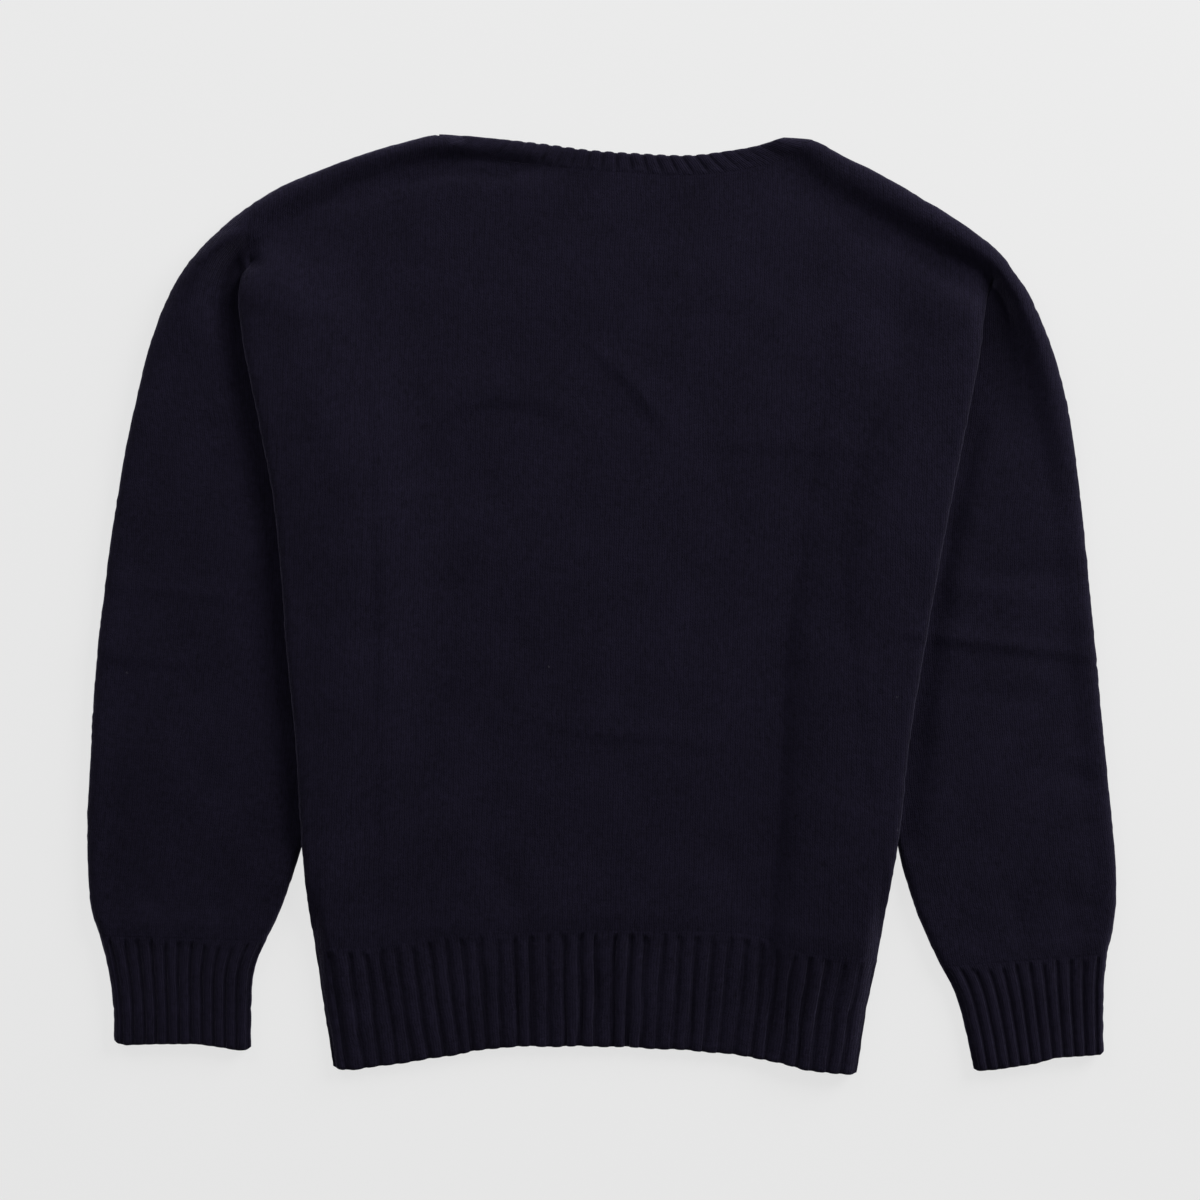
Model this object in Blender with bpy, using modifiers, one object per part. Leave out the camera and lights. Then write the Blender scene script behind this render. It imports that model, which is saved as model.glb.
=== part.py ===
"""Knitted pullover with rib trims, laid flat with its back up.

A wide crew neck, long set-in sleeves brought down beside the body, a 2x1 rib
hem, cuffs and neckband.  The body lies over the inner edge of each sleeve.

All sizes are in millimetres and are scaled to metres when a mesh is made.
X runs across the garment, Y from hem (-) to neck (+), Z is up, and the floor
is Z = 0.  The origin is the middle of the garment's footprint on the floor.

Every ply of cloth is an open surface with a Solidify wall.  A ply's height is
worked out from fields over the plan: the distance to the nearest folded edge
rounds it down to the fold, LIFT carries the body over the sleeves, and the
tables of rolls and creases raise or lower the top ply.
"""
import bpy
import numpy as np

MM = 0.001

# ---- driving sizes, mm
WALL = 2.2          # thickness of the knitted cloth
SEAM = 0.3          # gap between pieces at a seam
STACK = 6.6         # height of two plies with the air between them
STACK_MIN = 5.3     # the least that two plies press down to
LIFT = 7.2          # height of the sleeve that the body's edge lies on
LIFT_REST = 7.0     # how far the body bridges past the sleeve's edge
LIFT_RUN = 24.0     # length over which it then comes down to the floor
BRIDGE_RUN = 70.0   # the same for the upper ply
SLEEVE_PUFF = 0.8   # how much fuller a sleeve is where nothing lies on it
CORNER_GAP = 0.5    # more room where a fold runs into a seam
FOLD_SHARE = 0.55   # share of the wall left where a fold presses it
CHEST = 485.0       # nominal width of the body as it lies
LENGTH = 490.0      # nominal length of the body from hem seam to armhole top


def table(columns, rows):
    """A table as one array for each named column."""
    names = columns.split()
    data = np.array(rows, float)
    return {name: data[:, i] for i, name in enumerate(names)}


# ---- outlines in plan, a row for each section
# shoulder edge, from the neckband's free edge to the armhole seam
SHOULDER_LEFT = table("x y", [
    (-91.0, 305.2), (-105.3, 306.2), (-131.3, 300.3), (-157.3, 292.5),
    (-183.3, 282.8), (-209.3, 271.7), (-233.4, 256.1)])
SHOULDER_RIGHT = table("x y", [
    (119.0, 304.2), (136.5, 302.6), (154.7, 293.2), (180.7, 280.2),
    (206.7, 265.2), (232.7, 249.0), (252.2, 234.6)])

# body's folded side, from the underarm to the hem's free edge
SIDE_LEFT = table("x y", [
    (-228.2, 223.6), (-232.7, 217.8), (-235.3, 209.3), (-236.0, 198.2),
    (-233.3, 172.2), (-223.0, 120.2), (-213.2, 68.2), (-208.0, 16.2),
    (-204.1, -35.8), (-198.9, -87.8), (-195.0, -152.8), (-190.5, -198.2),
    (-186.6, -223.0), (-180.7, -263.2), (-174.8, -301.6)])
SIDE_RIGHT = table("x y", [
    (254.2, 208.7), (250.6, 200.8), (248.3, 185.2), (245.7, 165.8),
    (237.2, 120.2), (226.8, 68.2), (217.1, 16.2), (208.0, -35.8),
    (199.6, -87.8), (192.4, -152.8), (184.6, -198.2), (179.4, -228.8),
    (172.2, -263.2), (165.8, -305.5)])

# sleeve sections: the silhouette side and the side by the body
SLEEVE_LEFT = table("outer_x outer_y inner_x inner_y", [
    (-233.4, 256.1, -228.9, 224.0), (-247.0, 245.1, -231.4, 220.4),
    (-261.3, 230.8, -234.6, 215.4), (-271.7, 217.8, -237.2, 207.5),
    (-279.5, 204.8, -229.5, 191.0), (-287.3, 187.9, -221.0, 178.8),
    (-295.1, 165.8, -209.3, 160.6), (-301.6, 139.8, -197.6, 132.0),
    (-308.1, 110.5, -183.3, 93.0), (-314.0, 78.0, -176.2, 58.5),
    (-320.5, 35.8, -174.8, 29.2), (-323.7, 9.8, -176.2, -6.5),
    (-327.6, -22.8, -179.4, -48.8), (-330.9, -61.8, -183.3, -78.0),
    (-332.8, -97.5, -188.5, -113.8), (-334.8, -136.5, -193.7, -150.2),
    (-334.8, -159.2, -198.3, -167.1), (-332.2, -198.2, -210.0, -200.2),
    (-326.9, -214.5, -218.4, -217.8)])
SLEEVE_RIGHT = table("outer_x outer_y inner_x inner_y", [
    (252.2, 234.6, 255.4, 210.6), (258.7, 228.8, 256.6, 206.8),
    (267.8, 216.5, 255.2, 200.6), (276.9, 202.8, 251.4, 191.8),
    (284.7, 186.6, 243.5, 180.5), (292.5, 167.1, 231.8, 159.0),
    (300.3, 139.8, 221.0, 134.0), (305.5, 113.8, 210.0, 113.8),
    (310.7, 74.8, 194.4, 78.0), (314.6, 39.0, 183.3, 32.5),
    (318.5, -3.3, 179.4, -9.8), (321.8, -35.8, 180.7, -48.8),
    (325.0, -71.5, 183.3, -78.0), (328.3, -104.0, 186.6, -110.5),
    (331.5, -136.5, 189.8, -136.5), (333.8, -162.5, 193.7, -162.5),
    (334.8, -182.0, 198.2, -180.1), (333.4, -204.8, 208.0, -208.0),
    (328.6, -226.2, 220.3, -234.7)])
CUFF_LEFT = table("outer_x outer_y inner_x inner_y", [
    (-326.9, -214.5, -218.4, -217.8), (-321.1, -237.2, -226.2, -237.2),
    (-317.9, -263.2, -228.2, -263.2), (-317.5, -285.4, -228.2, -289.2)])
CUFF_RIGHT = table("outer_x outer_y inner_x inner_y", [
    (328.6, -226.2, 220.3, -234.7), (326.6, -247.0, 228.8, -250.2),
    (326.3, -269.8, 235.3, -271.1), (326.6, -292.5, 242.1, -303.6)])

# necklines, left to right: where the band is linked on, and its free edge
NECK_BACK_SEAM = table("x y", [
    (-105.3, 306.2), (-97.5, 298.4), (-85.8, 293.8), (-66.3, 289.2),
    (-27.3, 284.7), (11.7, 281.4), (57.2, 279.5), (89.7, 282.8),
    (115.7, 289.2), (128.7, 296.4), (136.5, 302.6)])
NECK_BACK_FREE = table("x y", [
    (-91.0, 305.2), (-66.3, 302.9), (-37.1, 299.7), (-7.8, 295.8),
    (21.4, 293.8), (57.2, 292.5), (80.0, 295.1), (99.5, 298.4),
    (119.0, 304.2)])
NECK_FRONT_SEAM = table("x y", [
    (-105.3, 306.2), (-100.8, 286.0), (-85.8, 261.3), (-53.3, 237.2),
    (10.4, 223.0), (71.5, 236.0), (109.2, 258.1), (128.7, 282.8),
    (136.5, 302.6)])
NECK_FRONT_FREE = table("x y", [
    (-91.0, 305.2), (-87.1, 289.2), (-72.8, 269.8), (-43.6, 249.0),
    (10.4, 236.0), (63.7, 247.7), (97.5, 267.2), (114.4, 287.9),
    (119.0, 304.2)])

# hem, left to right: where the rib begins, and its free edge
HEM_SEAM = table("x y", [
    (-186.6, -223.0), (-137.8, -221.7), (-118.3, -216.5), (-58.5, -213.2),
    (-18.2, -211.2), (40.3, -211.9), (89.7, -213.2), (112.5, -218.4),
    (128.7, -224.9), (179.4, -228.8)])
HEM_FREE = table("x y", [
    (-174.8, -301.6), (-161.8, -302.2), (-129.3, -297.7), (-96.9, -292.5),
    (-64.4, -287.9), (-31.9, -287.3), (0.7, -287.3), (33.1, -288.6),
    (65.7, -290.6), (98.2, -294.4), (130.7, -301.6), (146.9, -304.2),
    (165.8, -305.5)])

# ---- raised roll along the outer edge: height above the rest, and its width
ROLL_LEFT = table("x y height width", [
    (-91.0, 305.2, 0.2, 14), (-131.3, 300.3, 1.0, 15),
    (-183.3, 282.8, 1.8, 16), (-233.4, 256.1, 2.6, 18),
    (-271.7, 217.8, 2.4, 18), (-295.1, 165.8, 1.2, 18),
    (-314.0, 78.0, 0.4, 18), (-334.8, -159.2, 0.4, 18),
    (-317.5, -285.4, 0.2, 14)])
ROLL_RIGHT = table("x y height width", [
    (119.0, 304.2, 0.3, 14), (154.7, 293.2, 2.2, 17),
    (180.7, 280.2, 3.2, 18), (232.7, 249.0, 3.4, 18),
    (276.9, 202.8, 3.0, 18), (300.3, 139.8, 1.8, 19),
    (310.7, 74.8, 0.8, 19), (333.8, -162.5, 0.5, 18),
    (326.6, -292.5, 0.2, 14)])

# ---- creases in the top ply: depth at each point, and half width
CREASES = [
    table("x y depth width", [          # inside the right shoulder's roll
        (112.0, 290.0, 0.0, 8), (159.3, 267.8, 0.9, 8),
        (202.2, 248.3, 1.1, 8), (240.5, 222.3, 1.2, 7),
        (260.7, 200.2, 1.2, 6), (270.4, 167.7, 1.1, 7),
        (281.5, 136.5, 0.7, 8), (288.0, 81.3, 0.0, 9)]),
    table("x y depth width", [          # inside the left shoulder's roll
        (-79.3, 290.0, 0.0, 9), (-131.3, 286.0, 0.5, 9),
        (-176.8, 269.8, 0.8, 9), (-215.8, 252.0, 0.9, 9),
        (-240.0, 232.0, 0.9, 8), (-258.0, 196.0, 0.4, 9),
        (-268.0, 160.0, 0.0, 9)]),
    table("x y depth width", [          # left crease down the body
        (-147.6, 250.3, 0.0, 7), (-147.6, 165.8, 0.7, 7),
        (-147.6, 3.3, 0.9, 7), (-147.6, -126.8, 0.9, 7),
        (-145.0, -217.8, 0.5, 7), (-141.0, -285.0, 0.0, 7)]),
    table("x y depth width", [          # right crease down the body
        (148.2, 204.8, 0.0, 8), (141.7, 113.8, 0.7, 8),
        (128.7, 3.3, 0.9, 8), (122.2, -61.8, 1.1, 10),
        (115.7, -159.3, 1.2, 12), (109.2, -217.8, 1.1, 10),
        (112.5, -290.0, 0.4, 8)]),
    table("x y depth width", [          # across the left sleeve
        (-323.0, 6.5, 0.0, 7), (-290.0, 0.0, 0.8, 7),
        (-242.0, -9.8, 0.4, 7)]),
    table("x y depth width", [          # across the right sleeve
        (216.5, -23.4, 0.5, 7), (262.0, -32.0, 1.0, 7),
        (317.2, -37.1, 0.0, 7)]),
]

# ---- foot of the slope up to the right sleeve, where the back is creased
BRIDGE_FOOT = table("x y height run", [
    (152.0, 225.0, 0.0, 40), (146.3, 152.1, 2.5, 40), (138.5, 98.8, 4.0, 34),
    (128.7, 30.6, 4.8, 26), (121.6, -22.8, 5.4, 18), (118.5, -76.0, 5.6, 13),
    (116.5, -139.0, 5.6, 12), (112.5, -178.0, 5.0, 11.5),
    (109.2, -217.0, 4.2, 11), (107.3, -290.0, 2.4, 11)])

# ---- where the grid lines run, mm from the edge they start at
SIDE_COLUMNS = (0, 0, 0.9, 3.5, 11, 24, 40, 56, 76, 100)
NECK_COLUMNS = (128, 135, 150, 178, 210, 243, 276, 312, 342, 361, 370)
TOP_ROWS = (0, 0, 0.9, 3.5, 11, 22, 31, 36.5, 42, 50, 64, 84, 106, 130, 157,
            188, 225, 265, 310, 360, 402, 444, 490)
UNDERARM_ROW = 31.0


# ---- plan geometry
def smooth(tab, x="x", y="y", step=4.0):
    """A smooth line through a table's points, about step apart."""
    p = np.column_stack((tab[x], tab[y]))
    p = np.vstack((2 * p[0] - p[1], p, 2 * p[-1] - p[-2]))
    out = []
    for a, b, c, d in zip(p[:-3], p[1:-2], p[2:-1], p[3:]):
        t0 = 0.0
        t1 = t0 + np.linalg.norm(b - a) ** 0.5
        t2 = t1 + np.linalg.norm(c - b) ** 0.5
        t3 = t2 + np.linalg.norm(d - c) ** 0.5
        n = max(2, int(np.ceil(np.linalg.norm(c - b) / step)))
        for t in np.linspace(t1, t2, n, endpoint=False):
            a1 = (t1 - t) / (t1 - t0) * a + (t - t0) / (t1 - t0) * b
            a2 = (t2 - t) / (t2 - t1) * b + (t - t1) / (t2 - t1) * c
            a3 = (t3 - t) / (t3 - t2) * c + (t - t2) / (t3 - t2) * d
            b1 = (t2 - t) / (t2 - t0) * a1 + (t - t0) / (t2 - t0) * a2
            b2 = (t3 - t) / (t3 - t1) * a2 + (t - t1) / (t3 - t1) * a3
            out.append((t2 - t) / (t2 - t1) * b1 + (t - t1) / (t2 - t1) * b2)
    out.append(p[-2])
    return np.array(out)


def chain(*tabs):
    """Tables of plan points joined end to end, shared ends once."""
    xs = np.concatenate([t["x"][(1 if i else 0):] for i, t in enumerate(tabs)])
    ys = np.concatenate([t["y"][(1 if i else 0):] for i, t in enumerate(tabs)])
    return {"x": xs, "y": ys}


def side_of(tab, side):
    return {"x": tab[side + "_x"], "y": tab[side + "_y"]}


def lengths(line):
    return np.concatenate(([0.0], np.cumsum(
        np.linalg.norm(np.diff(line, axis=0), axis=1))))


def near(line, p):
    """Distance from each point of p to a line, the place along the line, and
    the side of it, +1 to the left of its direction."""
    a, b = line[:-1], line[1:]
    ab = b - a
    ap = p[:, None, :] - a[None]
    k = np.clip((ap * ab[None]).sum(2) / (ab * ab).sum(1)[None], 0, 1)
    gap = ap - k[..., None] * ab[None]
    dist = np.sqrt((gap * gap).sum(2))
    i = dist.argmin(1)
    n = np.arange(len(p))
    s = lengths(line)
    place = s[i] + k[n, i] * (s[i + 1] - s[i])
    turn = ab[i, 0] * ap[n, i, 1] - ab[i, 1] * ap[n, i, 0]
    return dist[n, i], place, np.where(turn >= 0, 1.0, -1.0)


def along(line, f):
    """The points at fractions f of a line's length."""
    s = lengths(line)
    f = np.asarray(f, float) * s[-1]
    return np.column_stack((np.interp(f, s, line[:, 0]),
                            np.interp(f, s, line[:, 1])))


def ease(t):
    t = np.clip(t, 0, 1)
    return t * t * (3 - 2 * t)


EDGE_LEFT = smooth(chain(SHOULDER_LEFT, side_of(SLEEVE_LEFT, "outer"),
                         side_of(CUFF_LEFT, "outer")))
EDGE_RIGHT = smooth(chain(SHOULDER_RIGHT, side_of(SLEEVE_RIGHT, "outer"),
                          side_of(CUFF_RIGHT, "outer")))
FOLD_LEFT = smooth(SIDE_LEFT)
FOLD_RIGHT = smooth(SIDE_RIGHT)
INNER_LEFT = smooth(chain(side_of(SLEEVE_LEFT, "inner"),
                          side_of(CUFF_LEFT, "inner")))
INNER_RIGHT = smooth(chain(side_of(SLEEVE_RIGHT, "inner"),
                           side_of(CUFF_RIGHT, "inner")))
ARMHOLE_LEFT = np.array([(-233.4, 256.1), (-228.2, 223.6)])
ARMHOLE_RIGHT = np.array([(252.2, 234.6), (254.2, 208.7)])
# the body's border: armhole seam and then folded side
BORDER_LEFT = np.vstack((ARMHOLE_LEFT[:1], FOLD_LEFT))
BORDER_RIGHT = np.vstack((ARMHOLE_RIGHT[:1], FOLD_RIGHT))
CREASE_LINES = [smooth(c) for c in CREASES]
BRIDGE_LINE = smooth(BRIDGE_FOOT)


# ---- heights
def stack(p):
    """Height of the two plies over each plan point, without the lift."""
    h = np.full(len(p), STACK)
    for edge, roll in ((EDGE_LEFT, ROLL_LEFT), (EDGE_RIGHT, ROLL_RIGHT)):
        d, place, _ = near(edge, p)
        rows = near(edge, np.column_stack((roll["x"], roll["y"])))[1]
        height = np.interp(place, rows, roll["height"])
        width = np.interp(place, rows, roll["width"])
        h += height * (1 - ease((d - 0.35 * width) / (0.85 * width)))
    for line, crease in zip(CREASE_LINES, CREASES):
        d, place, _ = near(line, p)
        rows = near(line, np.column_stack((crease["x"], crease["y"])))[1]
        depth = np.interp(place, rows, crease["depth"])
        width = np.interp(place, rows, crease["width"])
        h -= depth * np.exp(-(d / width) ** 2)
    for border, outside in ((BORDER_LEFT, -1.0), (BORDER_RIGHT, 1.0)):
        d, _, turn = near(border, p)
        h += SLEEVE_PUFF * ease((d * turn * outside - 2) / 18)
    return np.maximum(h, STACK_MIN)


def lift(p):
    """Height that the body's lower ply stands above the floor."""
    f = np.zeros(len(p))
    for inner, pit, inward in ((INNER_LEFT, FOLD_LEFT[0], 1.0),
                               (INNER_RIGHT, FOLD_RIGHT[0], -1.0)):
        d, _, turn = near(inner, p)
        beyond = d * turn * inward
        f += (1 - ease((beyond - LIFT_REST) / LIFT_RUN)) * ease((pit[1] - p[:, 1]) / 15.5)
    return LIFT * f


def bridge(p):
    """How much further the upper ply stands up beside what lifts it: it comes
    down over a longer way than the lower one, on the right to a crease."""
    f = np.zeros(len(p))
    for inner, pit, inward in ((INNER_LEFT, FOLD_LEFT[0], 1.0),
                               (INNER_RIGHT, FOLD_RIGHT[0], -1.0)):
        d, _, turn = near(inner, p)
        beyond = d * turn * inward
        f += ((1 - ease((beyond - LIFT_REST) / BRIDGE_RUN))
              * ease((pit[1] + 18 - p[:, 1]) / 42))
    d, place, turn = near(BRIDGE_LINE, p)
    rows = near(BRIDGE_LINE, np.column_stack((BRIDGE_FOOT["x"],
                                              BRIDGE_FOOT["y"])))[1]
    height = np.interp(place, rows, BRIDGE_FOOT["height"])
    run = np.interp(place, rows, BRIDGE_FOOT["run"])
    foot = height * (1 - np.exp(-np.maximum(d * turn, 0) / run))
    more = np.maximum(np.maximum(LIFT * f, foot) - lift(p), 0)
    seam = np.minimum(near(ARMHOLE_LEFT, p)[0], near(ARMHOLE_RIGHT, p)[0])
    return more * ease(folds(p, BODY_FOLDS) / 22) * ease(seam / 16)


def crown(d, h):
    """How far a ply has risen from the fold at distance d, as part of h/2."""
    r = h / 2
    k = 1 - np.clip((d + 0.145) / r, 0, 1)
    return np.sqrt(1 - k * k)


def folds(p, lines):
    return np.min([near(line, p)[0] for line in lines], axis=0)


BODY_FOLDS = (EDGE_LEFT, EDGE_RIGHT, FOLD_LEFT, FOLD_RIGHT)
CORNERS = [FOLD_LEFT[0], FOLD_RIGHT[0], np.array([-105.3, 306.2]),
           np.array([136.5, 302.6]), ARMHOLE_LEFT[0], ARMHOLE_RIGHT[0]]


def corner_room(p):
    """Extra height beside a fold where it runs into a seam."""
    far = np.min([np.linalg.norm(p - c, axis=1) for c in CORNERS], axis=0)
    return CORNER_GAP * np.exp(-(far / 9) ** 2
                               - folds(p, BODY_FOLDS) / 2.5)


def body_height(p, upper):
    h, f = stack(p), lift(p)
    rise = h / 2 * crown(folds(p, BODY_FOLDS), h)
    return f + h / 2 + (rise + bridge(p) if upper else -rise)


def body_fold_height(p):
    return lift(p) + stack(p) / 2


# ---- meshes
def collection():
    group = bpy.data.collections.new("rib_trimmed_pullover")
    bpy.context.scene.collection.children.link(group)
    return group


def cloth(group, name, verts, quads, colour, edges=BODY_FOLDS):
    """An open surface, outer side out, with the cloth's wall inside it, which
    is pressed thinner in its folds."""
    verts = np.asarray(verts)
    near_fold = folds(verts[:, :2], edges)
    share = FOLD_SHARE + (1 - FOLD_SHARE) * ease(near_fold / 3.5)
    mesh = bpy.data.meshes.new(name)
    mesh.from_pydata([tuple(v * MM) for v in verts], [], quads)
    mesh.validate()
    obj = bpy.data.objects.new(name, mesh)
    group.objects.link(obj)
    pressed = obj.vertex_groups.new(name="wall")
    for i, w in enumerate(share):
        pressed.add([i], float(w), "REPLACE")
    wall = obj.modifiers.new("wall", "SOLIDIFY")
    wall.vertex_group = "wall"
    wall.thickness = WALL * MM
    wall.offset = -1.0
    wall.use_quality_normals = True
    mesh.shade_smooth()
    mat = bpy.data.materials.new(name)
    mat.use_nodes = True
    shader = mat.node_tree.nodes["Principled BSDF"]
    shader.inputs["Base Color"].default_value = colour
    shader.inputs["Roughness"].default_value = 0.95
    shader.inputs["Metallic"].default_value = 0.0
    mesh.materials.append(mat)
    return obj


def grid_faces(rows, cols, ring=False, flip=False):
    faces = []
    for i in range(rows - 1):
        for j in range(cols if ring else cols - 1):
            k = (j + 1) % cols
            face = (i * cols + j, i * cols + k,
                    (i + 1) * cols + k, (i + 1) * cols + j)
            # a turned face keeps its diagonal, so that plies nest
            faces.append((face[2], face[1], face[0], face[3]) if flip
                         else face)
    return faces


def coons(left, right, low, high, u, v):
    """Grid of plan points between four borders; left and right are given at
    each v, low and high at each u."""
    uu, vv = np.meshgrid(u, v)
    uu, vv = uu[..., None], vv[..., None]
    v1 = v[:, None]
    bow_left = left - ((1 - v1) * low[0] + v1 * high[0])
    bow_right = right - ((1 - v1) * low[-1] + v1 * high[-1])
    # a side's bends die out quickly towards the middle
    return ((1 - vv) * low[None] + vv * high[None]
            + (1 - uu) ** 4 * bow_left[:, None] + uu ** 4 * bow_right[:, None])


def two_part(first, second, split, f):
    """Points along one line for f below split and along the next above it."""
    f = np.asarray(f, float)
    a = along(first, np.clip(f / split, 0, 1))
    b = along(second, np.clip((f - split) / (1 - split), 0, 1))
    return np.where((f <= split)[:, None], a, b)


def inset_side(line, amount):
    return line + np.array([amount, 0.0])


def beside(line, amount):
    """A left-to-right line moved to its left (+) or right (-), and further
    near its two ends."""
    d = np.gradient(line, axis=0)
    d /= np.linalg.norm(d, axis=1)[:, None]
    s = lengths(line)
    end = np.minimum(s, s[-1] - s)
    more = 1 + 4.0 * np.exp(-(end / 9.0) ** 2)
    return line + np.column_stack((-d[:, 1], d[:, 0])) * (amount * more)[:, None]


def panel(group, name, neck_seam, upper, columns, rows, colour):
    """Back or front, from hem seam to shoulder and neck seam."""
    half = SEAM / 2
    u = np.array(columns) / CHEST
    v = 1 - np.array(rows) / LENGTH
    split = 1 - UNDERARM_ROW / LENGTH
    neck_u0, neck_u1 = NECK_COLUMNS[0] / CHEST, NECK_COLUMNS[-1] / CHEST

    hem = smooth(HEM_SEAM) + np.array([0.0, half])
    corner_left, corner_right = hem[0], hem[-1]
    side_l = FOLD_LEFT[FOLD_LEFT[:, 1] > corner_left[1] + 1][::-1]
    side_l = np.vstack((corner_left, side_l))
    side_r = FOLD_RIGHT[FOLD_RIGHT[:, 1] > corner_right[1] + 1][::-1]
    side_r = np.vstack((corner_right, side_r))
    arm_l = inset_side(ARMHOLE_LEFT[::-1], half)
    arm_r = inset_side(ARMHOLE_RIGHT[::-1], -half)
    seam = beside(smooth(neck_seam, step=2.0), -half)
    top_l = smooth(SHOULDER_LEFT)
    top_l = top_l[top_l[:, 0] <= -105.3][::-1]
    top_r = smooth(SHOULDER_RIGHT)
    top_r = top_r[top_r[:, 0] >= 136.5]

    left = two_part(side_l, arm_l, split, v)
    right = two_part(side_r, arm_r, split, v)
    low = along(hem, u)
    high = np.where(
        (u <= neck_u0)[:, None], along(top_l, np.clip(u / neck_u0, 0, 1)),
        np.where((u >= neck_u1)[:, None],
                 along(top_r, np.clip((u - neck_u1) / (1 - neck_u1), 0, 1)),
                 along(seam, np.clip((u - neck_u0) / (neck_u1 - neck_u0),
                                     0, 1))))
    left[0], left[1] = arm_l[-1], arm_l[-1]
    right[0], right[1] = arm_r[-1], arm_r[-1]
    high[:2], high[-2:] = arm_l[-1], arm_r[-1]
    plan = coons(left, right, low, high, u, v)

    # beside a seam that isn't a fold, the second line moves in a little
    folded_rows = v <= split + 1e-9
    folded_cols = (u <= neck_u0 + 1e-9) | (u >= neck_u1 - 1e-9)
    for i in range(len(v)):
        if not folded_rows[i]:
            for edge, second, third in ((0, 1, 2), (-1, -2, -3)):
                plan[i, second] += (plan[i, third] - plan[i, edge]) * 0.5
    for j in range(len(u)):
        if not folded_cols[j]:
            plan[1, j] += (plan[2, j] - plan[0, j]) * 0.5

    pts = plan.reshape(-1, 2)
    z = body_height(pts, upper).reshape(plan.shape[:2])
    mid = body_fold_height(pts).reshape(plan.shape[:2])
    sign = 1.0 if upper else -1.0
    # folded edges end in an upright lip beside the seam
    z[folded_rows, 0] = (mid + sign * half)[folded_rows, 0]
    z[folded_rows, -1] = (mid + sign * half)[folded_rows, -1]
    z[0, folded_cols] = (mid + sign * half)[0, folded_cols]
    z += sign * corner_room(pts).reshape(z.shape)
    if not upper:
        z = np.where(z < 0.02, 0.0, z)
    verts = np.column_stack((pts, z.reshape(-1)))
    faces = grid_faces(len(v), len(u), flip=upper)
    return cloth(group, name, verts, faces, colour)


def hem_rib(group, name, upper, columns, colour):
    """One ply of the rib hem, from its seam to its free edge."""
    half = SEAM / 2
    u = np.array(columns) / CHEST
    v = np.array([0.0, 0.25, 0.6, 1.0])
    seam = smooth(HEM_SEAM) - np.array([0.0, half])
    free = smooth(HEM_FREE)

    def side(line, top, bottom):
        inner = line[(line[:, 1] < top[1] - 1) & (line[:, 1] > bottom[1] + 1)]
        return np.vstack((top, inner, bottom))

    left = along(side(FOLD_LEFT, seam[0], free[0]), v)
    right = along(side(FOLD_RIGHT, seam[-1], free[-1]), v)
    plan = coons(left, right, along(seam, u), along(free, u), u, v)
    pts = plan.reshape(-1, 2)
    z = body_height(pts, upper).reshape(plan.shape[:2])
    mid = body_fold_height(pts).reshape(plan.shape[:2])
    sign = 1.0 if upper else -1.0
    z[:, 0] = mid[:, 0] + sign * half
    z[:, -1] = mid[:, -1] + sign * half
    if not upper:
        z = np.where(z < 0.02, 0.0, z)
    verts = np.column_stack((pts, z.reshape(-1)))
    return cloth(group, name, verts, grid_faces(len(v), len(u), flip=upper),
                 colour)


def tube(group, name, sections, folds_at, colour, turn):
    """A flattened tube through the sections, silhouette side first."""
    rings = []
    for ox, oy, ix, iy in sections:
        outer, inner = np.array([ox, oy]), np.array([ix, iy])
        w = np.linalg.norm(inner - outer)
        top = [0, 0.9, 3.6, 10, 0.3 * w, 0.62 * w, w - 10, w - 3.6, w - 0.9, w]
        under = [w - 0.9, w - 3.6, 0.5 * w, 3.6, 0.9]
        if w < 40:
            top = [0, 0.9, 3.6, 0.26 * w, 0.42 * w, 0.6 * w, 0.76 * w,
                   w - 3.6, w - 0.9, w]
        ring = []
        for level, stops in ((1.0, top), (-1.0, under)):
            p = outer + np.outer(np.array(stops) / w, inner - outer)
            h = stack(p)
            d = folds(p, folds_at)
            rise = h / 2 * crown(d, h) * level
            z = h / 2 + rise
            z = np.where(z < 0.02, 0.0, z)
            ring += list(np.column_stack((p, z)))
        ring[0][2] = stack(ring[0][None, :2])[0] / 2
        ring[9][2] = stack(ring[9][None, :2])[0] / 2
        rings.append(np.array(ring))
    verts = np.vstack(rings)
    return cloth(group, name, verts,
                 grid_faces(len(rings), len(rings[0]), True, turn), colour,
                 folds_at)


def section_rows(tab, gap=0.0, shift=0.0):
    """A sleeve or cuff table's rows, its first section moved along by the
    seam gap, or sideways from an armhole seam."""
    rows = np.column_stack([tab[c] for c in
                            ("outer_x", "outer_y", "inner_x", "inner_y")])
    first = rows[0].copy()
    if gap:
        for k in (0, 2):
            step = rows[1, k:k + 2] - rows[0, k:k + 2]
            first[k:k + 2] += step / np.linalg.norm(step) * gap
    first[0] += shift
    first[2] += shift
    rows[0] = first
    return rows


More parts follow.
